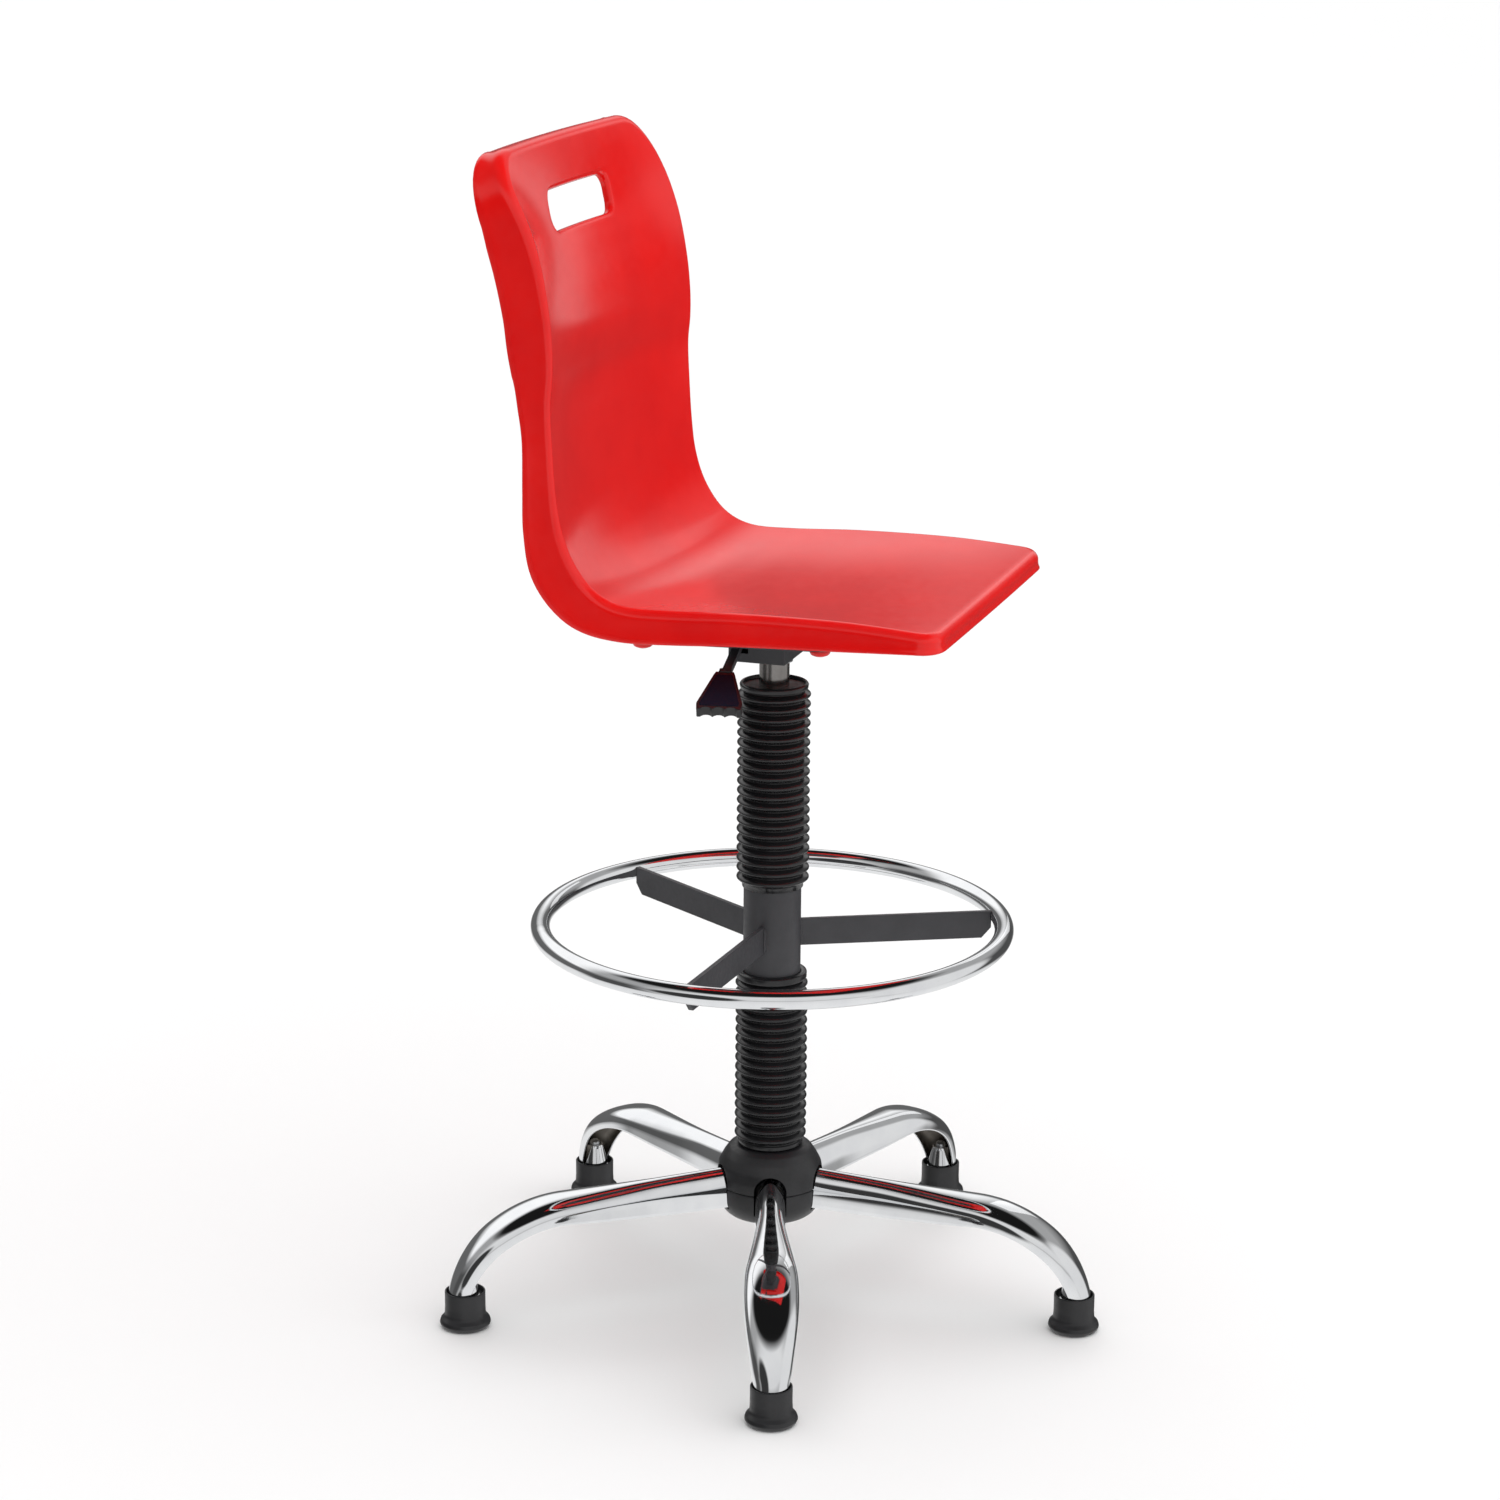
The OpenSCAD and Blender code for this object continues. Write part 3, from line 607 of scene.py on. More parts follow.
def gusset(name, centre, angle, low):
    """A moulded web from a boss to the underside of the seat."""
    root = BOSS_R - 1
    across = Vector((math.cos(math.radians(angle)), math.sin(math.radians(angle))))
    inner, outer = (sheet_middle(*(Vector(centre) + across * r)) for r in (root, GUSSET_REACH))
    outline = [(root, low), (root + 2, low), (GUSSET_REACH, outer), (root, inner)]
    points = [(r, s, z) for s in (-GUSSET_WALL / 2, GUSSET_WALL / 2) for r, z in outline]
    faces = ring_faces(2, 4) + [(0, 1, 2, 3), (4, 5, 6, 7)]
    turn = Matrix.Rotation(math.radians(angle), 3, "Z")
    move = Vector((*centre, 0))
    return mesh_object(name, [turn @ Vector(p) + move for p in points], faces, sharp=30)


def screw_caps():
    """Domed caps, hollow from above."""
    low, high = box_mm("screw_caps")
    z0, z1 = low.z, high.z
    hollow_r = CAP_R - 3
    outline = filleted([
        (0, z0), (4, z0, 3), (CAP_R - 1.1, z0 + 1.8, 3), (CAP_R, z0 + 4.4, 1.5), (CAP_R, z1, 0.4),
        (hollow_r, z1), (hollow_r, z0 + 2.4, 0.5), (0, z0 + 2.4),
    ])
    parts = [lathe(f"cap_{k}", outline, 40, xy) for k, xy in enumerate(screw_places())]
    place(joined("caps", parts), "seat", "red_shell", "screw_caps")


# ---- Bellows --------------------------------------------------------------------

BELLOWS_R = box_mm("lower_bellows")[1].x
BELLOWS_WALL = 1.4
FOLD_DEPTH = 5.2
VALLEY_R = BELLOWS_R - FOLD_DEPTH
FOLD_STEPS = 16
FOLD_ROUNDNESS = 0.62
UPPER_FOLDS, LOWER_FOLDS = 20, 17
GAITER_SEGMENTS = 112
SLEEVE_WALL = 2
COLUMN_R = box_mm("footring_sleeve")[1].x - SLEEVE_WALL


def fold_wave(p):
    """Radius over one fold as a share of its depth: a round rib between two valleys."""
    return (0.5 - 0.5 * math.cos(2 * math.pi * p)) ** FOLD_ROUNDNESS


def folded_wall(folds, z0, z1, inset):
    """(radius, height) pairs up a folded wall."""
    pitch = (z1 - z0) / folds
    wave = [fold_wave(k / FOLD_STEPS) for k in range(FOLD_STEPS)]
    return [
        (VALLEY_R - inset + FOLD_DEPTH * wave[k % FOLD_STEPS], z0 + pitch * k / FOLD_STEPS)
        for k in range(folds * FOLD_STEPS + 1)
    ]


def sag(a, r, z):
    """A gaiter's folds aren't quite round or level. Its ends fit the column closely."""
    if r <= COLUMN_R + 1:
        return 0
    return 0.12 * math.sin(2 * a + z * 0.05) + 0.08 * math.sin(3 * a - 0.03 * z)


def upper_bellows():
    """Folded sleeve with a flared rim round its open top."""
    low, high = box_mm("upper_bellows")
    top = high.z
    z0, z1 = low.z + 4, top - 7
    outer = folded_wall(UPPER_FOLDS, z0, z1, 0)
    inner = folded_wall(UPPER_FOLDS, z0, z1, BELLOWS_WALL)
    rim = BELLOWS_R - 2
    lip = filleted([
        (VALLEY_R + 0.3, z1 + 0.4), (rim - 0.6, z1 + 1.4, 1), (rim, top - 2, 2), (rim - 1.6, top, 1.2),
        (rim - 3.2, top - 0.6, 0.8), (rim - 3.4, z1 + 2.6), (VALLEY_R - BELLOWS_WALL, z1 + 0.4),
    ], closed=False)
    foot = [(VALLEY_R - BELLOWS_WALL, z0), (COLUMN_R, z0), (COLUMN_R, low.z), (VALLEY_R, low.z)]
    outline = foot + outer + lip + inner[::-1][:-1]
    obj = lathe("upper_gaiter", outline, GAITER_SEGMENTS, wobble=sag)
    place(obj, "base", "bellows", "upper_bellows")
    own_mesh(obj)


def lower_bellows():
    """Folded sleeve between two plain collars on the column."""
    low, high = box_mm("lower_bellows")
    z0, z1 = low.z + 5, high.z - 8
    outer = folded_wall(LOWER_FOLDS, z0, z1, 0)
    upper_r, lower_r = BELLOWS_R - 1, BELLOWS_R - 3
    top = filleted([
        (VALLEY_R + 0.5, z1 + 0.3), (upper_r, z1 + 0.8, 1.5), (upper_r, high.z - 1, 1.5),
        (BELLOWS_R - 4, high.z, 1), (COLUMN_R, high.z),
    ], closed=False)
    foot = filleted([
        (COLUMN_R, low.z), (lower_r, low.z, 1), (lower_r, z0 - 0.8, 1), (VALLEY_R, z0),
    ], closed=False)
    obj = lathe("lower_gaiter", foot[:-1] + outer + top, GAITER_SEGMENTS, wobble=sag)
    place(obj, "base", "bellows", "lower_bellows")


# ---- Footring -------------------------------------------------------------------


def ring_measures():
    """(radius of the tube's middle line, radius of the tube, height) of the footring."""
    low, high = box_mm("footring")
    tube_r = (high.z - low.z) / 2
    return high.x - tube_r, tube_r, (low.z + high.z) / 2


RING_R, RING_TUBE_R, RING_Z = ring_measures()
# The ring is butt welded and ground: a faint swelling where its ends meet
SEAM_ANGLE = math.radians(118)
SEAM_SWELL = 0.18
SEAM_SPREAD = 0.012


def footring():
    turns, sides = 240, 40
    points = []
    for k in range(turns):
        a = 2 * math.pi * k / turns
        tube_r = RING_TUBE_R + SEAM_SWELL * math.exp(-((a - SEAM_ANGLE) / SEAM_SPREAD) ** 2)
        for s in range(sides):
            b = 2 * math.pi * s / sides
            r = RING_R + tube_r * math.cos(b)
            points.append((r * math.cos(a), r * math.sin(a), RING_Z + tube_r * math.sin(b)))
    faces = ring_faces(turns, sides, wrap=True)
    place(mesh_object("ring", points, faces), "base", "chrome", "footring")


BEAD_R = 1.5


def weld_bead(name, x, y, z0, z1):
    """A vertical weld of overlapping ripples."""
    rings, sides, ripples = 40, 10, 7
    points = []
    for f in (j / rings for j in range(rings + 1)):
        taper = min(1, 6 * f + 0.2, 6 * (1 - f) + 0.2)
        r = BEAD_R * (0.82 + 0.18 * abs(math.sin(math.pi * ripples * f))) * taper
        for a in (2 * math.pi * k / sides for k in range(sides)):
            points.append((x + r * math.cos(a), y + r * math.sin(a), lerp(z0, z1, f)))
    faces = ring_faces(rings + 1, sides)
    faces += [tuple(range(sides)), tuple(range(rings * sides, (rings + 1) * sides))]
    return mesh_object(name, points, faces)


SPOKE_WALL = 5
SPOKE_END = RING_R - RING_TUBE_R + 1


def spoke_direction():
    """Direction of the first spoke, from the far corner of its box."""
    half = SPOKE_WALL / 2
    high = box_mm("footring_spoke_1")[1]
    return math.asin(clamp(high.y / math.hypot(SPOKE_END, half))) - half / SPOKE_END


SPOKE_ANGLE = spoke_direction()


def spoke(i):
    """Flat bar on edge, notched under the ring, with a weld at the sleeve."""
    node = f"footring_spoke_{i}"
    low, high = box_mm(node)
    inner = COLUMN_R + SLEEVE_WALL - 0.5
    half = SPOKE_WALL / 2
    notch = [
        (RING_R - RING_TUBE_R * math.cos(a), RING_Z + RING_TUBE_R * math.sin(a))
        for a in (math.radians(d) for d in range(28, -29, -7))
    ]
    top = [(inner, high.z), (RING_R - RING_TUBE_R * math.cos(math.radians(33)), high.z)]
    outline = top + notch + [(SPOKE_END, low.z + 10), (SPOKE_END - 9, low.z), (inner, low.z)]
    bar = rounded_prism(f"bar_{i}", outline, -half, half, 0.7, 2)
    bar.data.transform(Matrix.Rotation(math.pi / 2, 4, "X"))
    beads = [
        weld_bead(f"bead_{i}_{side}", inner + 0.6, side * (half + 0.4), low.z + 1, high.z - 1)
        for side in (-1, 1)
    ]
    obj = joined(f"spoke_{i}", [bar] + beads)
    obj.data.transform(Matrix.Rotation(SPOKE_ANGLE + math.radians(120) * (i - 1), 4, "Z"))
    place(obj, "base", "dark_paint", node)


# ---- Base -----------------------------------------------------------------------

LEGS = range(1, 6)


def foot(i):
    """Middle of a glide on the floor."""
    low, high = box_mm(f"glide_{i}")
    return Vector(((low.x + high.x) / 2, (low.y + high.y) / 2))


def leg_turn(i):
    return math.atan2(foot(i).y, foot(i).x)


FOOT_R = foot(1).length
CORE_R = box_mm("hub_core")[1].x
# The leg's top line falls gently from the hub, bends at the knee and goes on down the shin.
# Its points are (distance from the swivel axis, height)
FALL, KNEE, SHIN = (math.radians(d) for d in (3, 35, 80))
KNEE_R = 140
KNEE_START = Vector((FOOT_R - 98, 120.6))
LEG_TIP = 16.5


def arc_point(start, radius, a0, a):
    """The point with heading a on an arc that leaves start with heading a0."""
    return start + radius * Vector((math.sin(a) - math.sin(a0), math.cos(a) - math.cos(a0)))


KNEE_END = arc_point(KNEE_START, KNEE_R, FALL, KNEE)
SHIN_R = (FOOT_R + LEG_TIP - KNEE_END.x) / (math.sin(SHIN) - math.sin(KNEE))

# The leg's section by distance out from the glide's middle: half its width, how far its top
# is arched, how deep it is, and how far the arch is from round (1) towards square (0)
LEG_HALF_W = [(-270, 14), (-185, 14.5), (-150, 17.5), (-120, 20.5), (-78, 24.7), (-38, 25.2),
              (-8, 22.5), (10, 18.6), (14.5, 16.2), (16.5, 16.2)]
LEG_CROWN = [(-270, 24), (-190, 22), (-140, 19), (-100, 16.5), (-60, 15), (-8, 14.5)]
LEG_DEPTH = [(-270, 36), (-190, 33), (-130, 27), (-80, 20.5), (-40, 18), (-8, 17.5), (14.5, 17)]
LEG_SQUARE = [(-240, 1), (-120, 0.8), (-8, 0.8), (14.5, 1)]
LEG_WALL = 2
LEG_TRIM = 0.6
EASE_REACH = 14
ARCH = 16
LEG_SIDE = 2 * ARCH + 7
LEG_SECTION = 2 * LEG_SIDE + 6


def eased(table, x, reach):
    """The table's value, smoothed over reach on each side."""
    return sum(lookup(table, x + reach * k / 4) for k in range(-4, 5)) / 9


def leg_spine():
    """(point on the top line, heading) from the hub to the foot."""
    spine = []
    for x in (lerp(CORE_R + 1, KNEE_START.x, k / 36) for k in range(36)):
        spine.append((Vector((x, KNEE_START.y + (KNEE_START.x - x) * math.tan(FALL))), FALL))
    for a in (lerp(FALL, KNEE, k / 20) for k in range(20)):
        spine.append((arc_point(KNEE_START, KNEE_R, FALL, a), a))
    for a in (lerp(KNEE, SHIN, k / 28) for k in range(29)):
        spine.append((arc_point(KNEE_END, SHIN_R, KNEE, a), a))
    return spine


def leg_side(out, reach, inset):
    """LEG_SIDE points (across, down) over one side of the wall, inset from its outside."""
    square = eased(LEG_SQUARE, out, reach)
    w = eased(LEG_HALF_W, out, reach) - inset
    crown = eased(LEG_CROWN, out, reach) - inset
    edge = eased(LEG_DEPTH, out, reach) - LEG_TRIM
    arch = []
    for k in range(-ARCH, ARCH + 1):
        a = math.radians(90 * k / ARCH)
        y = math.copysign(w * abs(math.sin(a)) ** square, k)
        arch.append((y, inset + crown * (1 - max(0, math.cos(a)) ** square)))
    wall = [lerp(arch[-1][1], edge, f) for f in (0.35, 0.7, 1)]
    return [(-w, q) for q in reversed(wall)] + arch + [(w, q) for q in wall]


def leg_ring(top, heading):
    """The closed section of the leg's wall at one place on its spine."""
    out = top.x - FOOT_R
    reach = EASE_REACH if out < 0 else max(0.5, EASE_REACH - out)
    outside, inside = (leg_side(out, reach, inset) for inset in (0, LEG_WALL))
    (w, edge), tip = outside[-1], LEG_WALL / 2
    rounded = [(w - tip + tip * math.cos(b), edge + LEG_TRIM * math.sin(b))
               for b in (math.pi / 4, math.pi / 2, math.pi * 3 / 4)]
    section = outside + rounded + inside[::-1] + [(-y, q) for y, q in reversed(rounded)]
    ahead = Vector((math.sin(heading), math.cos(heading)))
    return [(top.x - q * ahead.x, y, top.y - q * ahead.y) for y, q in section]


def leg_mesh():
    """A channel, open underneath, whose two ends show the thickness of its wall."""
    rings = [leg_ring(*step) for step in leg_spine()]
    faces = ring_faces(len(rings), LEG_SECTION)
    for end in (0, len(rings) - 1):
        base = end * LEG_SECTION
        outer = [base + k for k in range(LEG_SIDE)]
        inner = [base + 2 * LEG_SIDE + 2 - k for k in range(LEG_SIDE)]
        faces += [(outer[k], outer[k + 1], inner[k + 1], inner[k]) for k in range(LEG_SIDE - 1)]
        one_tip = range(base + LEG_SIDE, base + LEG_SIDE + 3)
        other_tip = range(base + LEG_SECTION - 3, base + LEG_SECTION)
        faces += [(outer[-1], *one_tip, inner[-1]), (inner[0], *other_tip, outer[0])]
    return mesh_object("leg", [p for ring in rings for p in ring], faces, sharp=60)


def dull_inside(mesh):
    """The plating hardly reaches the inside of a leg's channel."""
    mesh.materials.append(MATERIALS["thin"])
    walls = (len(leg_spine()) - 1) * LEG_SECTION
    for face in mesh.polygons:
        if face.index < walls and LEG_SIDE + 3 <= face.index % LEG_SECTION < 2 * LEG_SIDE + 2:
            face.material_index = 1


def legs():
    pattern = leg_mesh()
    for i in LEGS:
        obj = bpy.data.objects.new(f"pressed_leg_{i}", pattern.data.copy())
        bpy.context.scene.collection.objects.link(obj)
        obj.data.transform(Matrix.Rotation(leg_turn(i), 4, "Z"))
        place(obj, "base", "chrome", f"leg_{i}")
        dull_inside(obj.data)
    bpy.data.objects.remove(pattern)


def floor_glide(i, at):
    """A foot with a rounded sole and a waist, under an open collar."""
    low, high = box_mm(f"glide_{i}")
    r, top = (high.x - low.x) / 2, high.z
    collar, bore, well = r - 5, r - 6.6, top - 8.5
    glide = lathe(f"floor_glide_{i}", filleted([
        (0, 0), (r - 5, 0, 1.2), (r - 1.6, 1.0, 2.2), (r, 4.6, 2.2), (r - 0.9, 7.8, 2), (r - 4.6, 12, 6),
        (collar, 20, 10), (collar, top, 0.9), (bore, top, 0.6), (bore, well), (0, well),
    ]), 80, at)
    weighted_normals(glide)
    place(glide, "base", "black_plastic", f"glide_{i}")


def foot_cone(i, at):
    """A flange on the glide's floor, with a cone that holds the rivet."""
    low, high = box_mm(f"foot_holder_{i}")
    z0, z1 = low.z, high.z
    flange, wide, tip, bore = 13.9, 12.8, 8.5, 5.5
    cone = lathe(f"foot_cone_{i}", filleted([
        (bore, z0), (flange, z0, 0.5), (flange, z0 + 2, 0.6), (wide + 0.1, z0 + 2.2, 0.6), (wide, z0 + 5, 3),
        (tip + 0.9, z1 - 3, 3), (tip, z1, 0.8), (bore, z1),
    ]), 64, at)
    weighted_normals(cone)
    place(cone, "base", "chrome", f"foot_holder_{i}")


def foot_rivet(i, at):
    """A pin with a flat head below and a domed one above."""
    low, high = box_mm(f"glide_pin_{i}")
    z0, z1 = low.z, high.z
    head, shank = 8, 5.5
    pin = lathe(f"foot_rivet_{i}", filleted([
        (0, z0), (head, z0, 0.3), (head, z0 + 2, 0.3), (shank, z0 + 2), (shank, z1 - 4.4, 0.3),
        (5.2, z1 - 2.2, 2), (3.2, z1 - 0.4, 2.4), (0, z1),
    ]), 48, at)
    place(pin, "base", "steel", f"glide_pin_{i}")


def feet():
    for i in LEGS:
        at = foot(i)
        floor_glide(i, at)
        foot_cone(i, at)
        foot_rivet(i, at)


# The arched openings round the legs, in the hub's two covers: half their width, and the
# heights of their sill and their crown
OPENING_HALF = 15.4
OPENING_LOW, OPENING_HIGH = 91.5, 131.5


def arch_cutter(i):
    """A solid along one leg, round on top, that cuts its way through the hub's covers."""
    half = OPENING_HALF
    arch = [(half * math.cos(a), OPENING_HIGH - half + half * math.sin(a))
            for a in (math.radians(d) for d in range(0, 181, 9))]
    rim = [(-half, OPENING_LOW), (half, OPENING_LOW)] + arch
    points = [(x, y, z) for x in (CORE_R - 2, CORE_R + 40) for y, z in rim]
    n = len(rim)
    faces = ring_faces(2, n) + [tuple(range(n)), tuple(range(n, 2 * n))]
    obj = mesh_object(f"cutter_{i}", points, faces)
    obj.data.transform(Matrix.Rotation(leg_turn(i), 4, "Z"))
    return obj


def cut_openings(obj):
    """Cuts the five openings through a cover."""
    cutters = [arch_cutter(i) for i in LEGS]
    for cutter in cutters:
        cut = obj.modifiers.new("leg_opening", "BOOLEAN")
        cut.operation = "DIFFERENCE"
        cut.solver = "EXACT"
        cut.object = cutter
    apply_modifiers(obj)
    for cutter in cutters:
        bpy.data.objects.remove(cutter)
    obj.data.shade_smooth()
    obj.data.set_sharp_from_angle(angle=math.radians(40))


def hub_covers():
    """A dome over a dish, both 3 mm thick at their seam."""
    low, high = box_mm("hub_cover")
    seam, top, r = low.z, high.z, high.x
    dome = filleted([
        (COLUMN_R, top), (34, top, 1.5), (39, top - 3, 6), (r - 6, top - 10, 12),
        (r - 1.2, top - 19, 12), (r, seam + 10, 14), (r, seam + 0.9, 0.6), (r - 0.8, seam, 0.4),
        (r - 3, seam), (r - 3, seam + 14, 12), (r - 9, top - 13, 12), (36, top - 5, 5), (COLUMN_R, top - 4),
    ])
    low, high = box_mm("hub_cap")
    floor_z, top = low.z, high.z
    dish = filleted([
        (0, floor_z), (r - 21, floor_z, 9), (r - 8, floor_z + 4, 14), (r - 1, floor_z + 15, 16),
        (r, top - 0.9, 0.6), (r - 0.8, top, 0.4), (r - 3, top), (r - 3.6, floor_z + 16, 12),
        (r - 10, floor_z + 6.5, 12), (r - 21, floor_z + 3, 8), (0, floor_z + 3),
    ])
    for name, outline, node in (("hub_dome", dome, "hub_cover"), ("hub_dish", dish, "hub_cap")):
        obj = lathe(name, outline, 160)
        cut_openings(obj)
        place(obj, "base", "black_plastic", node)


# ---- Lever grip -----------------------------------------------------------------

# The grip lies along a line with heading GRIP_HEADING, which is at GRIP_Y where it is level
# with the lever's pin along X. The socket starts GRIP_START out on it, and the blade starts
# SOCKET further out and slopes down
GRIP_START, SOCKET = 112, 9
GRIP_Y = 27
GRIP_SLOPE = math.radians(21)
GRIP_HEADING = math.radians(192)


def mirrored(side):
    """The corners (x, y) or (x, y, radius) of one side, and then those of the other side."""
    return side + [(x, -y, *radius) for x, y, *radius in reversed(side)]


def lever_grip():
    """Moulded grip: a level socket, then a blade that slopes down to three finger hollows."""
    end, hollow_r = 56, 6
    hollows = [
        (end + 2.8 - hollow_r * math.sin(a), y + hollow_r * math.cos(a))
        for y in (11, 0, -11) for a in (math.radians(d) for d in range(30, 151, 12))
    ]
    side = [(-1, 8), (3, 9.4, 4), (47, 20.4, 7), (end, 19.5, 2.5)]
    other = mirrored(side)[len(side):]
    outline = filleted(side + [(end, 17.5)] + hollows + [(end, -17.5)] + other, step=12)
    blade = rounded_prism("blade", outline, -5, 4, 1.3, 4, angle=40)

    half = 5.5
    outline = filleted([(0, -half, 1), (SOCKET + 1.5, -half, 0.6), (SOCKET + 1.5, half, 0.6), (0, half, 1)])
    collar = rounded_prism("collar", outline, -5, 5, 0.9, 3)

    side = [(4, -7.2, 2), (47, -17.6, 5), (51, -17.2, 2)]
    panel = rounded_prism("panel", filleted(mirrored(side), step=12), 3.6, 4.35, 0.3, 2)

    slope = Matrix.Translation((SOCKET * MM, 0, 0)) @ Matrix.Rotation(GRIP_SLOPE, 4, "Y")
    blade.data.transform(slope)
    panel.data.transform(slope)
    pin = joint("lever_lift")["pos_m"]
    where = Matrix.Translation((pin[0], GRIP_Y * MM, pin[2])) @ Matrix.Rotation(GRIP_HEADING, 4, "Z")
    where @= Matrix.Translation((GRIP_START * MM, 0, 0))
    grip = joined("grip", [blade, collar])
    grip.data.transform(where)
    place(grip, "lever", "black_plastic", "lever_grip")
    grip_panel = joined("grip_panel", [panel])
    grip_panel.data.transform(where)
    place(grip_panel, "lever", "black_plastic", finish="navy")


# ---- Carried-over CAD nodes -----------------------------------------------------

EDGE_ROUND_MM = {"seat_plate": 0.9, "lever_housing": 1.2, "lever_rod": 1.2, "rod_clip": 0.2}


def carry_over():
    """CAD nodes that stay get their slot's material, and some get finely rounded edges."""
    slot_of = {s["node"]: s["material_slot"] for s in frame["record"]["subparts"]}
    for name, obj in NODES.items():
        if obj.hide_render:
            continue
        obj.data.materials.clear()
        obj.data.materials.append(MATERIALS[slot_of[name]])
        if name in EDGE_ROUND_MM:
            weld = obj.modifiers.new("join_faces", "WELD")
            weld.merge_threshold = 0.005 * MM
            bevelled(obj, EDGE_ROUND_MM[name], 2, 40)


# ---- Stage, light and camera ----------------------------------------------------

FLOOR_HALF = 40


def floor():
    """A plain pale floor, hidden from reflections: the world shows its own floor there."""
    corners = [(x * FLOOR_HALF, y * FLOOR_HALF, 0) for x, y in ((-1, -1), (1, -1), (1, 1), (-1, 1))]
    mesh = bpy.data.meshes.new("floor")
    mesh.from_pydata(corners, [], [(0, 1, 2, 3)])
    pale = Surface("pale_floor", base_color=(0.86, 0.86, 0.86), roughness=0.6)
    mesh.materials.append(pale.material)
    obj = bpy.data.objects.new("floor", mesh)
    obj.visible_glossy = False
    bpy.context.scene.collection.objects.link(obj)


# Brightness of the room by height (-1 straight down to 1 straight up), on its two white
# sides and elsewhere
FAR_SIDE = [(-1, 0.9), (-0.34, 0.85), (-0.2, 0.13), (0.22, 0.14), (0.36, 1.1), (0.78, 1.1), (0.88, 0.01)]
NEAR_SIDE = [(-1, 0.9), (-0.1, 0.8), (0.0, 0.5), (0.1, 0.75), (0.66, 0.8), (0.80, 0.01)]
OTHER_SIDES = [(-1, 0.9), (-0.5, 0.8), (-0.36, 0.08), (0.1, 0.08), (0.4, 0.4), (0.7, 0.4), (0.82, 0.01)]
FAR_WAY = (0.64, 0.77, 0)
NEAR_WAY = (-0.95, -0.30, 0)
# A white panel in front of the sitter, and a dark one beside the camera
FRONT_WAY = (0.15, -0.98, 0.1)
FRONT_WHITE = 0.8
FLAG_WAY = (-0.947, 0.316, 0.05)
FLAG_BLACK = 0.04
BACKDROP_WHITE = 0.94


def world_light():
    """A studio with white sweeps on the far and near sides, a dark ceiling and horizon, one
    white panel and one dark one. The backdrop itself is seen plain and pale."""
    world = bpy.data.worlds.new("studio")
    world.use_nodes = True
    tree = world.node_tree
    shade = next(n for n in tree.nodes if n.type == "BACKGROUND")
    way = tree.nodes.new("ShaderNodeTexCoord").outputs["Generated"]

    def share_of(direction, start, end):
        """How far the view goes in a direction, smoothly from 0 at start to 1 at end."""
        dot = tree.nodes.new("ShaderNodeVectorMath")
        dot.operation = "DOT_PRODUCT"
        dot.inputs[1].default_value = direction
        tree.links.new(way, dot.inputs[0])
        made = tree.nodes.new("ShaderNodeMapRange")
        made.interpolation_type = "SMOOTHSTEP"
        made.inputs["From Min"].default_value = start
        made.inputs["From Max"].default_value = end
        tree.links.new(dot.outputs["Value"], made.inputs["Value"])
        return made.outputs["Result"]

    def by_height(stops):
        """Brightness by height. The stops go where share_of's smooth step puts their heights."""
        made = tree.nodes.new("ShaderNodeValToRGB")
        tree.links.new(share_of((0, 0, 1), -1, 1), made.inputs["Fac"])
        for k, (z, bright) in enumerate(stops):
            f = (z + 1) / 2
            f = f * f * (3 - 2 * f)
            stop = made.color_ramp.elements[k] if k < 2 else made.color_ramp.elements.new(f)
            stop.position = f
            stop.color = (bright, bright, bright, 1)
        return made.outputs["Color"]

    def mixed(share, a, b):
        """a where share is 0 and b, an output or a plain value, where it is 1."""
        made = tree.nodes.new("ShaderNodeMix")
        tree.links.new(share, made.inputs["Factor"])
        tree.links.new(a, made.inputs["A"])
        if isinstance(b, float):
            made.inputs["B"].default_value = b
        else:
            tree.links.new(b, made.inputs["B"])
        return made.outputs["Result"]

    room = mixed(share_of(NEAR_WAY, 0.3, 0.75), by_height(OTHER_SIDES), by_height(NEAR_SIDE))
    room = mixed(share_of(FAR_WAY, 0.5, 0.75), room, by_height(FAR_SIDE))
    room = mixed(share_of(FRONT_WAY, 0.72, 0.86), room, FRONT_WHITE)
    room = mixed(share_of(FLAG_WAY, 0.9, 0.955), room, FLAG_BLACK)
    seen = tree.nodes.new("ShaderNodeLightPath").outputs["Is Camera Ray"]
    tree.links.new(mixed(seen, room, BACKDROP_WHITE), shade.inputs["Strength"])
    shade.inputs["Color"].default_value = (1, 1, 1, 1)
    bpy.context.scene.world = world


SKY_STRENGTH = 2.85
SKY_ANGLE = math.radians(110)
SKY_WAY = (-0.1, 0.27, -1)
STRIP_AT = (2.2, -0.32, 1.3)
STRIP_AIM = (0, 0.1, 1.0)
STRIP_SIZE = (0.5, 1.24)
STRIP_WATTS = 1.1


def turned_to(way):
    """Rotation that points a lamp along way."""
    return Vector(way).to_track_quat("-Z", "Y").to_euler()


def lamp(name, kind, energy):
    light = bpy.data.lights.new(name, kind)
    light.energy = energy
    obj = bpy.data.objects.new(name, light)
    bpy.context.scene.collection.objects.link(obj)
    return obj


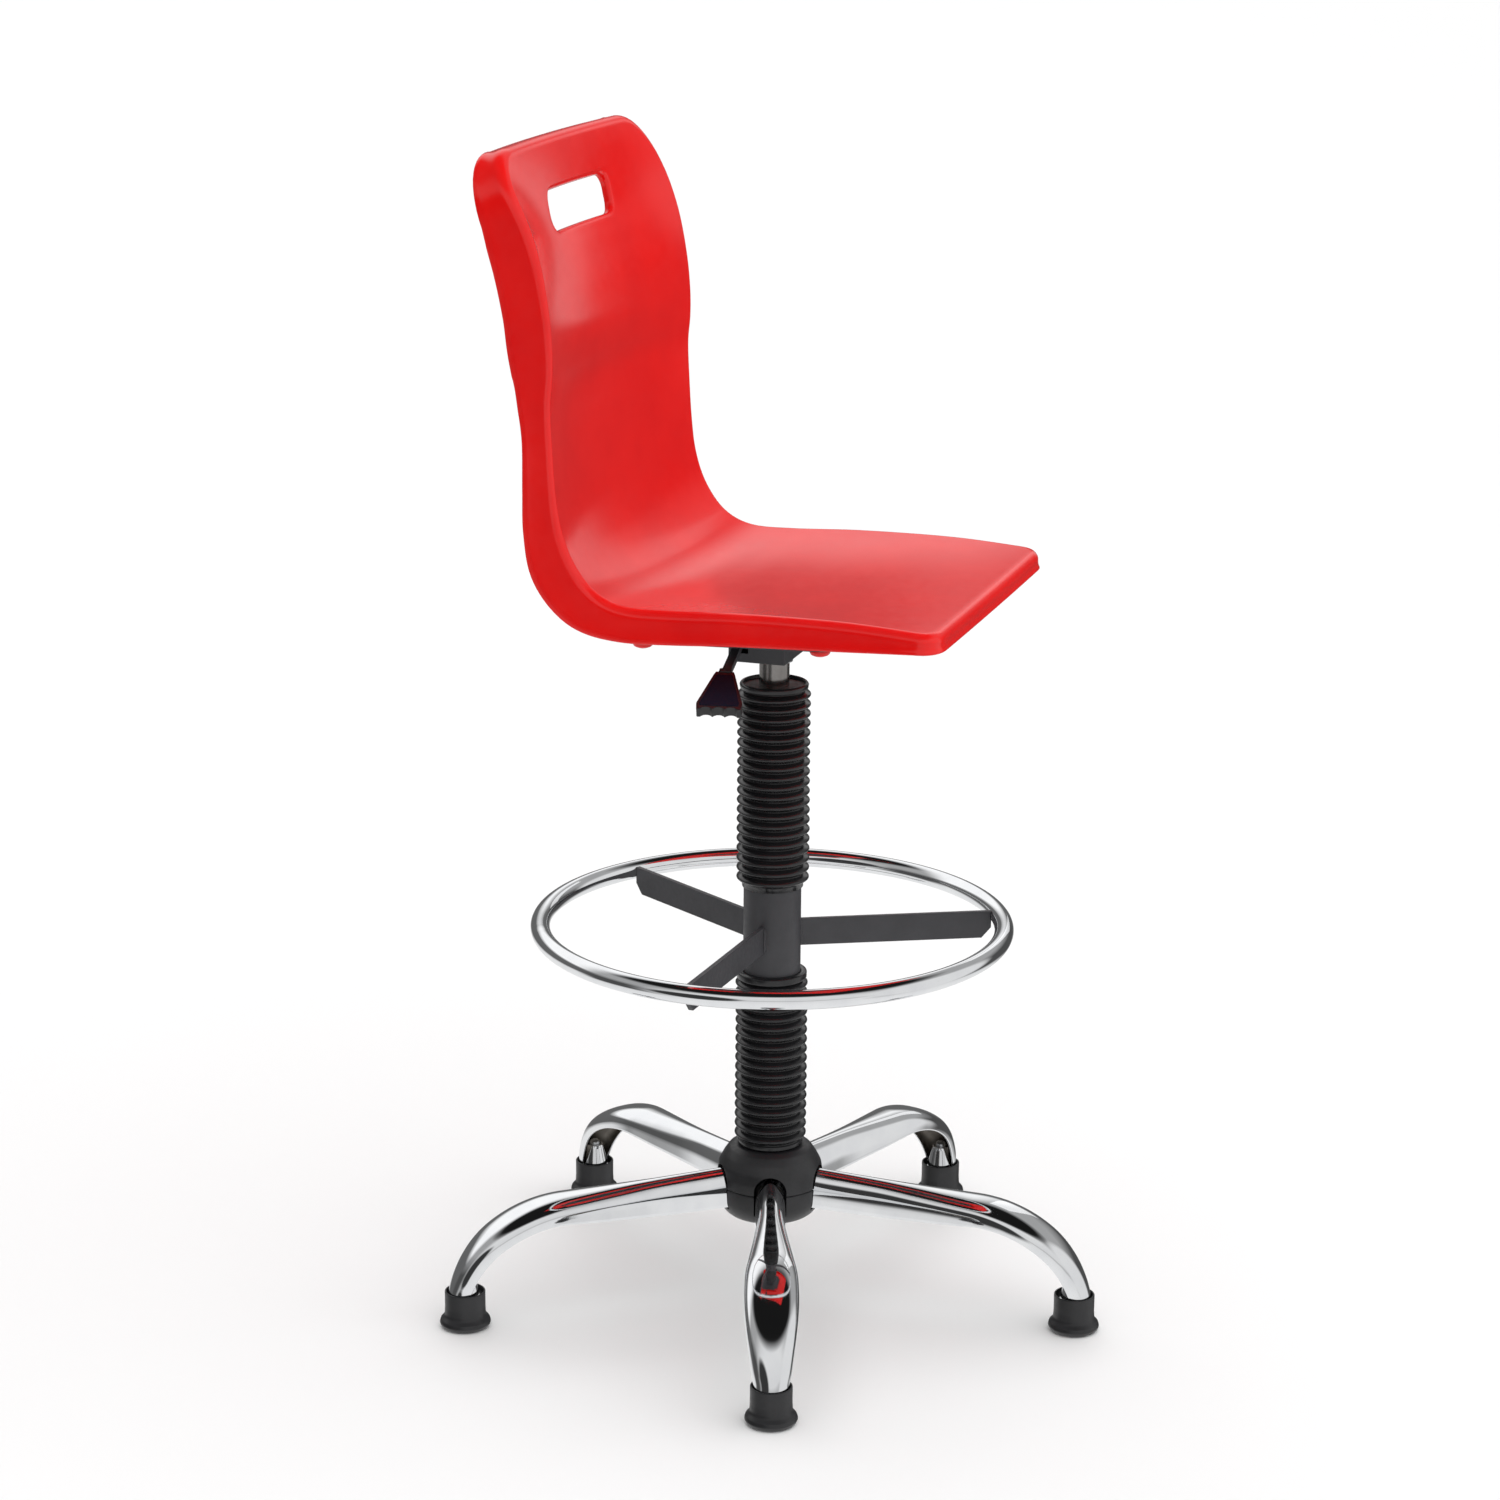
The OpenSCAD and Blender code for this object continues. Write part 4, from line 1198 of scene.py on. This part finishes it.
def studio():
    """The room, a wide soft sun overhead and a tall strip that puts the soft band on the back."""
    world_light()
    sky = lamp("sky", "SUN", SKY_STRENGTH)
    sky.data.angle = SKY_ANGLE
    sky.rotation_euler = turned_to(SKY_WAY)
    sky.visible_glossy = False
    strip = lamp("tall_strip", "AREA", STRIP_WATTS)
    strip.data.shape = "RECTANGLE"
    strip.data.size, strip.data.size_y = STRIP_SIZE
    strip.location = STRIP_AT
    strip.rotation_euler = turned_to(Vector(STRIP_AIM) - Vector(STRIP_AT))
    strip.visible_camera = False
    bpy.context.scene.view_settings.view_transform = "Standard"


# Where the photo was taken from: direction and distance from the swivel axis and height,
# then the way the lens looked
CAMERA_SIDE = math.radians(197.42)
CAMERA_DISTANCE = 3.4747
CAMERA_HEIGHT = 1.4937
LOOK_HEADING, LOOK_DOWN, LOOK_ROLL = (math.radians(d) for d in (17.782, 15.409, 0.426))
LENS_MM, SENSOR_MM = 93.476, 36


def camera():
    level = math.cos(LOOK_DOWN)
    ahead = Vector((level * math.cos(LOOK_HEADING), level * math.sin(LOOK_HEADING), -math.sin(LOOK_DOWN)))
    right = Vector((math.sin(LOOK_HEADING), -math.cos(LOOK_HEADING), 0))
    up = right.cross(ahead)
    roll = Matrix.Rotation(-LOOK_ROLL, 3, ahead)
    turned = Matrix((roll @ right, roll @ up, -ahead)).transposed()
    data = bpy.data.cameras.new("camera")
    data.lens = LENS_MM
    data.sensor_width = SENSOR_MM
    data.clip_end = 100
    obj = bpy.data.objects.new("camera", data)
    side = Vector((math.cos(CAMERA_SIDE), math.sin(CAMERA_SIDE), 0))
    where = side * CAMERA_DISTANCE + Vector((0, 0, CAMERA_HEIGHT))
    obj.matrix_world = Matrix.Translation(where) @ turned.to_4x4()
    bpy.context.scene.collection.objects.link(obj)
    bpy.context.scene.camera = obj


camera()
floor()
studio()
seat_shell()
screw_caps()
upper_bellows()
lower_bellows()
footring()
for number in (1, 2, 3):
    spoke(number)
legs()
feet()
hub_covers()
lever_grip()
carry_over()
